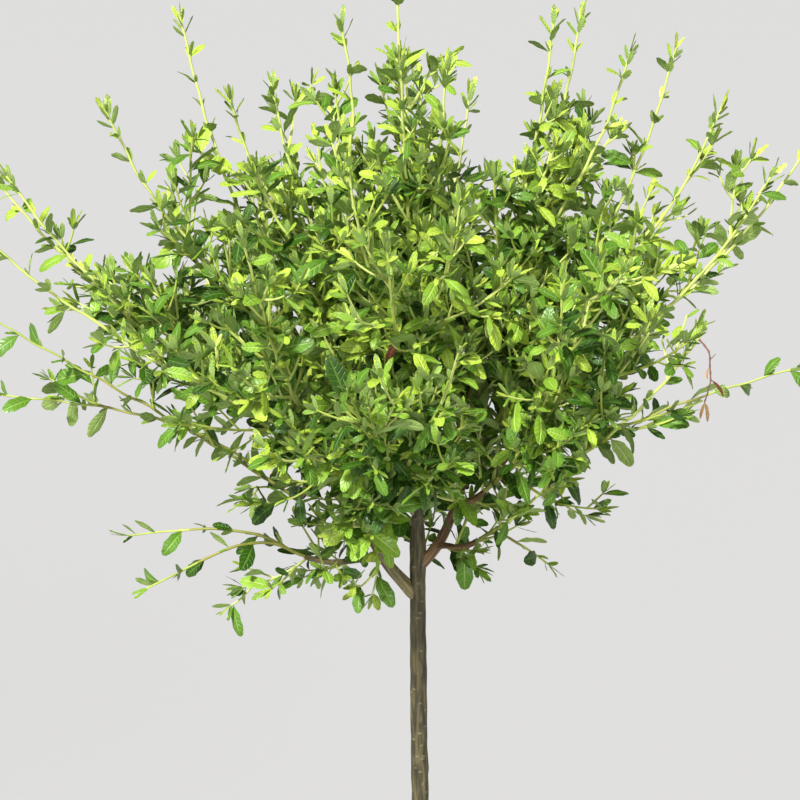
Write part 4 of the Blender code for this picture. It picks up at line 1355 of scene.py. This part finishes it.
def make_soil(materials):
    """Potting soil: a lumpy surface of seeded waves on a tapering plug, with loose crumbs and chips on it."""
    draw = np.random.default_rng(SEED)
    edge = pot_radius(soil_top() - SOIL_CROWN) - POT_WALL - CLEAR
    wall = pot_radius(POT_FLOOR) - POT_WALL - CLEAR
    top_radii = np.linspace(edge, SOIL_MIDDLE_RADIUS, SOIL_RINGS)
    radius = np.concatenate(([SOIL_MIDDLE_RADIUS, wall], top_radii))
    height = np.concatenate(([POT_FLOOR + CLEAR] * 2, soil_height(top_radii)))
    angle = math.tau * np.arange(ROUND_STEPS) / ROUND_STEPS
    x = radius[:, None] * np.cos(angle)
    y = radius[:, None] * np.sin(angle)
    rise = np.zeros(x.shape)
    for _ in range(SOIL_WAVES):
        way = draw.uniform(0, math.tau)
        wave = math.tau / draw.uniform(*SOIL_WAVE_LENGTHS)
        rise += np.sin((x * math.cos(way) + y * math.sin(way)) * wave + draw.uniform(0, math.tau)) / 4
    rise *= SOIL_LUMP
    rise[:2] = 0.0
    surface = turned_block(radius, height, ROUND_STEPS, rise)
    soil = mesh_piece("soil_surface", [surface], [materials["soil"]], SOIL_SHARP_ANGLE)
    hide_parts("soil")
    near, far = TRUNK_RADIUS + ROOT_FLARE, edge - CRUMBS_OFF_WALL
    distance = np.sqrt(draw.uniform(near**2, far**2, CRUMB_COUNT))
    way = draw.uniform(0, math.tau, CRUMB_COUNT)
    size = CRUMB_SIZES[0] + (CRUMB_SIZES[1] - CRUMB_SIZES[0]) * draw.random(CRUMB_COUNT) ** 3
    lifted = soil_height(distance) + size * CRUMB_STANDS_OUT
    crumbs = lumps(np.column_stack((distance * np.cos(way), distance * np.sin(way), lifted)), size, draw)
    looks = [materials["soil_crumb"], materials["bark_chip"]]
    mesh_piece("soil_crumbs", [crumbs], looks, SOIL_SHARP_ANGLE)


def lumps(middle, size, draw):
    """Small uneven stones of soil: a sphere on a grid of turn and height, stretched, turned and roughened."""
    rings, sides = CRUMB_GRID
    count = len(size)
    height = np.cos(math.pi * (np.arange(rings) + 1) / (rings + 1))[::-1]
    level = np.sqrt(1 - height**2)
    angle = math.tau * np.arange(sides) / sides
    ball = np.stack((
        level[:, None] * np.cos(angle),
        level[:, None] * np.sin(angle),
        np.repeat(height[:, None], sides, axis=1),
    ), axis=-1).reshape(-1, 3)
    ball = np.vstack((-UP, ball, UP))
    rough = 1 + draw.uniform(-CRUMB_ROUGH, CRUMB_ROUGH, (count, len(ball), 1))
    stretch = draw.uniform(*CRUMB_STRETCHES, (count, 3))[:, None]
    turn = draw.uniform(0, math.tau, count)
    shape = ball[None] * rough * stretch * size[:, None, None]
    x = shape[..., 0] * np.cos(turn)[:, None] - shape[..., 1] * np.sin(turn)[:, None]
    y = shape[..., 0] * np.sin(turn)[:, None] + shape[..., 1] * np.cos(turn)[:, None]
    points = np.stack((x, y, shape[..., 2]), axis=-1) + middle[:, None]
    corners, sizes = ring_faces(rings, sides)
    numbers = np.repeat((draw.random(count) < CHIP_SHARE).astype(int)[:, None], len(sizes), axis=1)
    return repeated(points, corners, sizes, numbers, points.copy())


# Materials


def feed(tree, socket, source):
    """Sets a socket to a plain value, or links another socket to it."""
    if isinstance(source, bpy.types.NodeSocket):
        tree.links.new(source, socket)
    elif isinstance(source, tuple) and len(source) == 3 and socket.type == "RGBA":
        socket.default_value = (*source, 1.0)
    else:
        socket.default_value = source


def sums(tree, operation, *sources, clamp=False):
    """A Math node's result."""
    node = tree.nodes.new("ShaderNodeMath")
    node.operation = operation
    node.use_clamp = clamp
    for socket, source in zip(node.inputs, sources):
        feed(tree, socket, source)
    return node.outputs[0]


def ramp(tree, value, low, high, to_low=0.0, to_high=1.0):
    """A value eased from one range into another."""
    node = tree.nodes.new("ShaderNodeMapRange")
    node.interpolation_type = "SMOOTHSTEP"
    for socket, source in zip(node.inputs, (value, low, high, to_low, to_high)):
        feed(tree, socket, source)
    return node.outputs["Result"]


def mixed(tree, factor, first, second, blend="MIX"):
    """Two colours mixed by a factor."""
    node = tree.nodes.new("ShaderNodeMix")
    node.data_type = "RGBA"
    node.blend_type = blend
    feed(tree, node.inputs["Factor"], factor)
    colours = [socket for socket in node.inputs if socket.type == "RGBA"]
    for socket, source in zip(colours, (first, second)):
        feed(tree, socket, source)
    return next(socket for socket in node.outputs if socket.type == "RGBA")


def noise(tree, vector, scale, detail, roughness=0.55):
    """Seeded cloudy noise from 0 to 1 through space."""
    node = tree.nodes.new("ShaderNodeTexNoise")
    for name, source in (("Vector", vector), ("Scale", scale), ("Detail", detail), ("Roughness", roughness)):
        feed(tree, node.inputs[name], source)
    return node.outputs["Fac"]


def stretched(tree, vector, scale):
    """A vector scaled by a different amount on each axis."""
    node = tree.nodes.new("ShaderNodeMapping")
    feed(tree, node.inputs["Vector"], vector)
    node.inputs["Scale"].default_value = scale
    return node.outputs["Vector"]


def new_group(name, inputs, outputs):
    """A shader node group, with its named inputs and outputs given by the kind of each."""
    group = bpy.data.node_groups.new(name, "ShaderNodeTree")
    for way, sockets in (("INPUT", inputs), ("OUTPUT", outputs)):
        for label, kind in sockets.items():
            group.interface.new_socket(label, in_out=way, socket_type="NodeSocket" + kind)
    return group, group.nodes.new("NodeGroupInput").outputs, group.nodes.new("NodeGroupOutput").inputs


def veins_group():
    """A leaf's midrib and slanting side veins, pressed in and paler, by the place along and across it."""
    group, given, made = new_group(
        "leaf_veins",
        {"Place": "Vector", "Blade": "Color", "Rib": "Color", "Side veins": "Float"},
        {"Color": "Color", "Height": "Float"},
    )
    axes = group.nodes.new("ShaderNodeSeparateXYZ")
    feed(group, axes.inputs[0], given["Place"])
    out = sums(group, "ABSOLUTE", axes.outputs["Y"])
    rib = ramp(group, out, *RIB_EDGES, to_low=1.0, to_high=0.0)
    slant = sums(group, "SUBTRACT", sums(group, "MULTIPLY", axes.outputs["X"], given["Side veins"]), out)
    wave = sums(group, "ABSOLUTE", sums(group, "SINE", sums(group, "MULTIPLY", slant, math.pi)))
    side = ramp(group, wave, 0.0, VEIN_WIDTH, to_low=1.0, to_high=0.0)
    pale_rib = sums(group, "MULTIPLY", rib, RIB_PALE)
    pale = sums(group, "MAXIMUM", pale_rib, sums(group, "MULTIPLY", side, VEIN_PALE))
    feed(group, made["Color"], mixed(group, pale, given["Blade"], given["Rib"]))
    pressed = sums(group, "MAXIMUM", rib, sums(group, "MULTIPLY", side, VEIN_DEPTH))
    feed(group, made["Height"], sums(group, "SUBTRACT", 1.0, pressed))
    return group


def drift_group():
    """Slow lighter and darker drifts of a colour through the plant, with a finer mottle on top."""
    group, given, made = new_group(
        "tone_drift",
        {"Color": "Color", "Place": "Vector", "Scale": "Float", "Amount": "Float"},
        {"Color": "Color", "Mottle": "Float"},
    )
    slow = noise(group, given["Place"], given["Scale"], detail=1.0)
    finer = sums(group, "MULTIPLY", given["Scale"], MOTTLE_FINER)
    fine = noise(group, given["Place"], finer, detail=2.0)
    most = sums(group, "MULTIPLY", slow, 1.0 - MOTTLE_SHARE)
    both = sums(group, "ADD", most, sums(group, "MULTIPLY", fine, MOTTLE_SHARE))
    swing = sums(group, "MULTIPLY", sums(group, "SUBTRACT", both, 0.5), given["Amount"])
    gain = sums(group, "ADD", 1.0, sums(group, "MULTIPLY", swing, 2.0))
    grey = group.nodes.new("ShaderNodeCombineColor")
    for channel in grey.inputs:
        feed(group, channel, gain)
    feed(group, made["Color"], mixed(group, 1.0, given["Color"], grey.outputs[0], "MULTIPLY"))
    feed(group, made["Mottle"], fine)
    return group


def grain_group():
    """Bark's fine grain: streaks that run along a limb, and small pale pores across it."""
    group, given, made = new_group(
        "bark_grain",
        {"Place": "Vector", "Streaks": "Float", "Pores": "Float"},
        {"Streak": "Float", "Pore": "Float", "Height": "Float"},
    )
    drawn_out = stretched(group, given["Place"], STREAK_SQUEEZE)
    streak = noise(group, drawn_out, given["Streaks"], detail=4.0, roughness=0.6)
    cells = group.nodes.new("ShaderNodeTexVoronoi")
    feed(group, cells.inputs["Vector"], stretched(group, given["Place"], PORE_SQUEEZE))
    feed(group, cells.inputs["Scale"], given["Pores"])
    pore = ramp(group, cells.outputs["Distance"], *PORE_EDGES, to_low=1.0, to_high=0.0)
    feed(group, made["Streak"], streak)
    feed(group, made["Pore"], pore)
    feed(group, made["Height"], sums(group, "ADD", streak, sums(group, "MULTIPLY", pore, PORE_RISE)))
    return group


def new_material(name, **sockets):
    """A material with a Principled shader whose constant sockets are set plainly."""
    material = bpy.data.materials.new(name)
    material.use_nodes = True
    tree = material.node_tree
    shader = tree.nodes["Principled BSDF"]
    for label, value in sockets.items():
        shader.inputs[label.replace("_", " ")].default_value = value
    return material, tree, shader


def place_of(tree):
    """The piece's own surface coordinates."""
    node = tree.nodes.new("ShaderNodeAttribute")
    node.attribute_name = "surface_place"
    return node.outputs["Vector"]


def object_place(tree):
    """The place in the plant's own space."""
    return tree.nodes.new("ShaderNodeTexCoord").outputs["Object"]


def use_group(tree, group, **sources):
    """A node group's outputs, with its inputs fed by name."""
    node = tree.nodes.new("ShaderNodeGroup")
    node.node_tree = group
    for label, source in sources.items():
        feed(tree, node.inputs[label.replace("_", " ")], source)
    return node.outputs


def bump(tree, shader, height, distance, strength):
    """Relief in the shading, from a height between 0 and 1 over a distance in metres."""
    node = tree.nodes.new("ShaderNodeBump")
    node.inputs["Distance"].default_value = distance
    node.inputs["Strength"].default_value = strength
    feed(tree, node.inputs["Height"], height)
    feed(tree, shader.inputs["Normal"], node.outputs["Normal"])


def finished(tree, shader, groups, colour, scale, amount, height, distance, strength):
    """Gives a shader relief and a colour that drifts through the plant, by a scale and an amount."""
    place = object_place(tree)
    drift = use_group(tree, groups["drift"], Color=colour, Place=place, Scale=scale, Amount=amount)
    feed(tree, shader.inputs["Base Color"], drift["Color"])
    bump(tree, shader, height, distance, strength)


def leaf_material(name, blade, rib, roughness, groups):
    """A leaf's side: plain colour with paler pressed-in veins and a slight drift from leaf to leaf."""
    material, tree, shader = new_material(name, Roughness=roughness, Specular_IOR_Level=0.38)
    place = place_of(tree)
    veins = use_group(tree, groups["veins"], Place=place, Blade=blade, Rib=rib, Side_veins=SIDE_VEINS)
    finished(
        tree, shader, groups, veins["Color"], scale=70.0, amount=0.55,
        height=veins["Height"], distance=0.0005, strength=0.9,
    )
    return material


def shoot_material(name, colour, pale, roughness, groups):
    """A green shoot's skin: smooth, with faint streaks along it."""
    material, tree, shader = new_material(name, Roughness=roughness, Specular_IOR_Level=0.5)
    grain = use_group(tree, groups["grain"], Place=place_of(tree), Streaks=1400.0, Pores=420.0)
    finished(
        tree, shader, groups, mixed(tree, grain["Streak"], colour, pale), scale=45.0, amount=0.5,
        height=grain["Height"], distance=0.0002, strength=0.4,
    )
    return material


def bark_material(name, dark, light, pore_colour, groups):
    """Bark: olive-brown, streaked along the limb, with small pale pores and rougher where it is lighter."""
    material, tree, shader = new_material(name)
    grain = use_group(tree, groups["grain"], Place=place_of(tree), Streaks=520.0, Pores=230.0)
    streaked = mixed(tree, ramp(tree, grain["Streak"], low=0.36, high=0.66), dark, light)
    pored = mixed(tree, sums(tree, "MULTIPLY", grain["Pore"], PORE_PALE), streaked, pore_colour)
    roughness = ramp(tree, grain["Streak"], low=0.2, high=0.8, to_low=0.52, to_high=0.80)
    feed(tree, shader.inputs["Roughness"], roughness)
    finished(
        tree, shader, groups, pored, scale=30.0, amount=0.7,
        height=grain["Height"], distance=0.0006, strength=0.8,
    )
    return material


def pot_material(groups):
    """Matt dark grey moulded plastic: a fine sandy skin, and dust that gathers low on the wall."""
    material, tree, shader = new_material("pot_plastic", Specular_IOR_Level=0.4)
    place = object_place(tree)
    drift = use_group(tree, groups["drift"], Color=PLASTIC_COLOUR, Place=place, Scale=18.0, Amount=0.35)
    height = tree.nodes.new("ShaderNodeSeparateXYZ")
    feed(tree, height.inputs[0], place)
    low = ramp(tree, height.outputs["Z"], low=0.0, high=DUST_HEIGHT, to_low=1.0, to_high=0.15)
    patches = ramp(tree, noise(tree, place, scale=26.0, detail=5.0, roughness=0.65), low=0.48, high=0.74)
    dust = sums(tree, "MULTIPLY", sums(tree, "MULTIPLY", low, patches), DUST_SHARE)
    roughness = ramp(tree, dust, low=0.0, high=0.5, to_low=0.46, to_high=0.85)
    feed(tree, shader.inputs["Base Color"], mixed(tree, dust, drift["Color"], DUST_COLOUR))
    feed(tree, shader.inputs["Roughness"], roughness)
    bump(tree, shader, noise(tree, place, scale=1900.0, detail=2.0), distance=0.0003, strength=0.35)
    return material


def soil_material(name, dark, light, groups):
    """Moist peaty soil, rough and mottled."""
    material, tree, shader = new_material(name, Roughness=0.95, Specular_IOR_Level=0.2)
    fibres = noise(tree, object_place(tree), scale=420.0, detail=6.0, roughness=0.7)
    colour = mixed(tree, ramp(tree, fibres, low=0.35, high=0.70), dark, light)
    finished(
        tree, shader, groups, colour, scale=60.0, amount=0.6,
        height=fibres, distance=0.0012, strength=1.0,
    )
    return material


def make_materials():
    """Every finish of the plant and its pot, by name."""
    groups = {"veins": veins_group(), "drift": drift_group(), "grain": grain_group()}
    made = {name: leaf_material(name, *tones, LEAF_ROUGHNESS, groups) for name, tones in LEAF_TONES.items()}
    for maker, looks in (
        (leaf_material, OTHER_LEAF_SIDES),
        (shoot_material, {**SHOOT_TONES, **DEAD_WOOD}),
        (bark_material, BARK_TONES),
        (soil_material, SOIL_TONES),
    ):
        for name, look in looks.items():
            made[name] = maker(name, *look, groups)
    made["pot_plastic"] = pot_material(groups)
    return made


# Stage, light and camera


def make_stage():
    """A wide pale floor."""
    mesh = bpy.data.meshes.new("floor")
    corners = [(x * FLOOR_HALF, y * FLOOR_HALF, 0.0) for x, y in ((-1, -1), (1, -1), (1, 1), (-1, 1))]
    mesh.from_pydata(corners, [], [(0, 1, 2, 3)])
    floor = bpy.data.objects.new("floor", mesh)
    bpy.context.scene.collection.objects.link(floor)
    material, _, _ = new_material(
        "pale_paper", Base_Color=(*FLOOR_COLOUR, 1.0), Roughness=0.9, Specular_IOR_Level=0.1
    )
    mesh.materials.append(material)


def add_sun(name, azimuth, elevation, strength, angle, colour):
    """A soft distant light that shines from an azimuth and an elevation."""
    data = bpy.data.lights.new(name, "SUN")
    data.energy = strength
    data.angle = math.radians(angle)
    data.color = colour
    sun = bpy.data.objects.new(name, data)
    sun.rotation_euler = (math.radians(90 - elevation), 0.0, math.radians(azimuth + 90))
    bpy.context.scene.collection.objects.link(sun)


def make_light():
    """A soft key from the upper left front, a broad fill from low in front, and a pale room all round.

    The room is seen as pale as the floor, and gives less light than that.
    """
    add_sun("key_light", **KEY_LIGHT)
    add_sun("fill_light", **FILL_LIGHT)
    world = bpy.data.worlds.new("studio")
    world.use_nodes = True
    tree = world.node_tree
    room_light = tree.nodes["Background"]
    room_light.inputs["Color"].default_value = (*ROOM_COLOUR, 1.0)
    room_light.inputs["Strength"].default_value = ROOM_STRENGTH
    backdrop = tree.nodes.new("ShaderNodeBackground")
    backdrop.inputs["Color"].default_value = (*BACKDROP_COLOUR, 1.0)
    seen = tree.nodes.new("ShaderNodeMixShader")
    feed(tree, seen.inputs[0], tree.nodes.new("ShaderNodeLightPath").outputs["Is Camera Ray"])
    feed(tree, seen.inputs[1], room_light.outputs[0])
    feed(tree, seen.inputs[2], backdrop.outputs[0])
    feed(tree, tree.nodes["World Output"].inputs["Surface"], seen.outputs[0])
    bpy.context.scene.world = world


def make_camera():
    """The camera at the picture's angle: it looks at the picture's middle from in front and above."""
    tilt = math.radians(VIEW_ELEVATION)
    target_x = (PICTURE_MIDDLE - STEM_COLUMN) * METRES_PER_PIXEL
    target_z = FORK_HEIGHT + (FORK_ROW - PICTURE_MIDDLE) * METRES_PER_PIXEL / math.cos(tilt)
    away, above = VIEW_DISTANCE * math.cos(tilt), VIEW_DISTANCE * math.sin(tilt)
    data = bpy.data.cameras.new("camera")
    data.sensor_width = SENSOR_WIDTH
    data.lens = SENSOR_WIDTH / 2 * VIEW_DISTANCE / (PICTURE_MIDDLE * METRES_PER_PIXEL)
    camera = bpy.data.objects.new("camera", data)
    camera.location = (target_x, -away, target_z + above)
    camera.rotation_euler = (math.radians(90 - VIEW_ELEVATION), 0.0, 0.0)
    bpy.context.scene.collection.objects.link(camera)
    bpy.context.scene.camera = camera


make_camera()
finishes = make_materials()
limb_paths = limb_lines()
make_pot(finishes)
make_soil(finishes)
make_wood(limb_paths, finishes)
make_foliage(limb_paths, finishes)
make_stage()
make_light()
bpy.context.scene.view_settings.view_transform = "Standard"
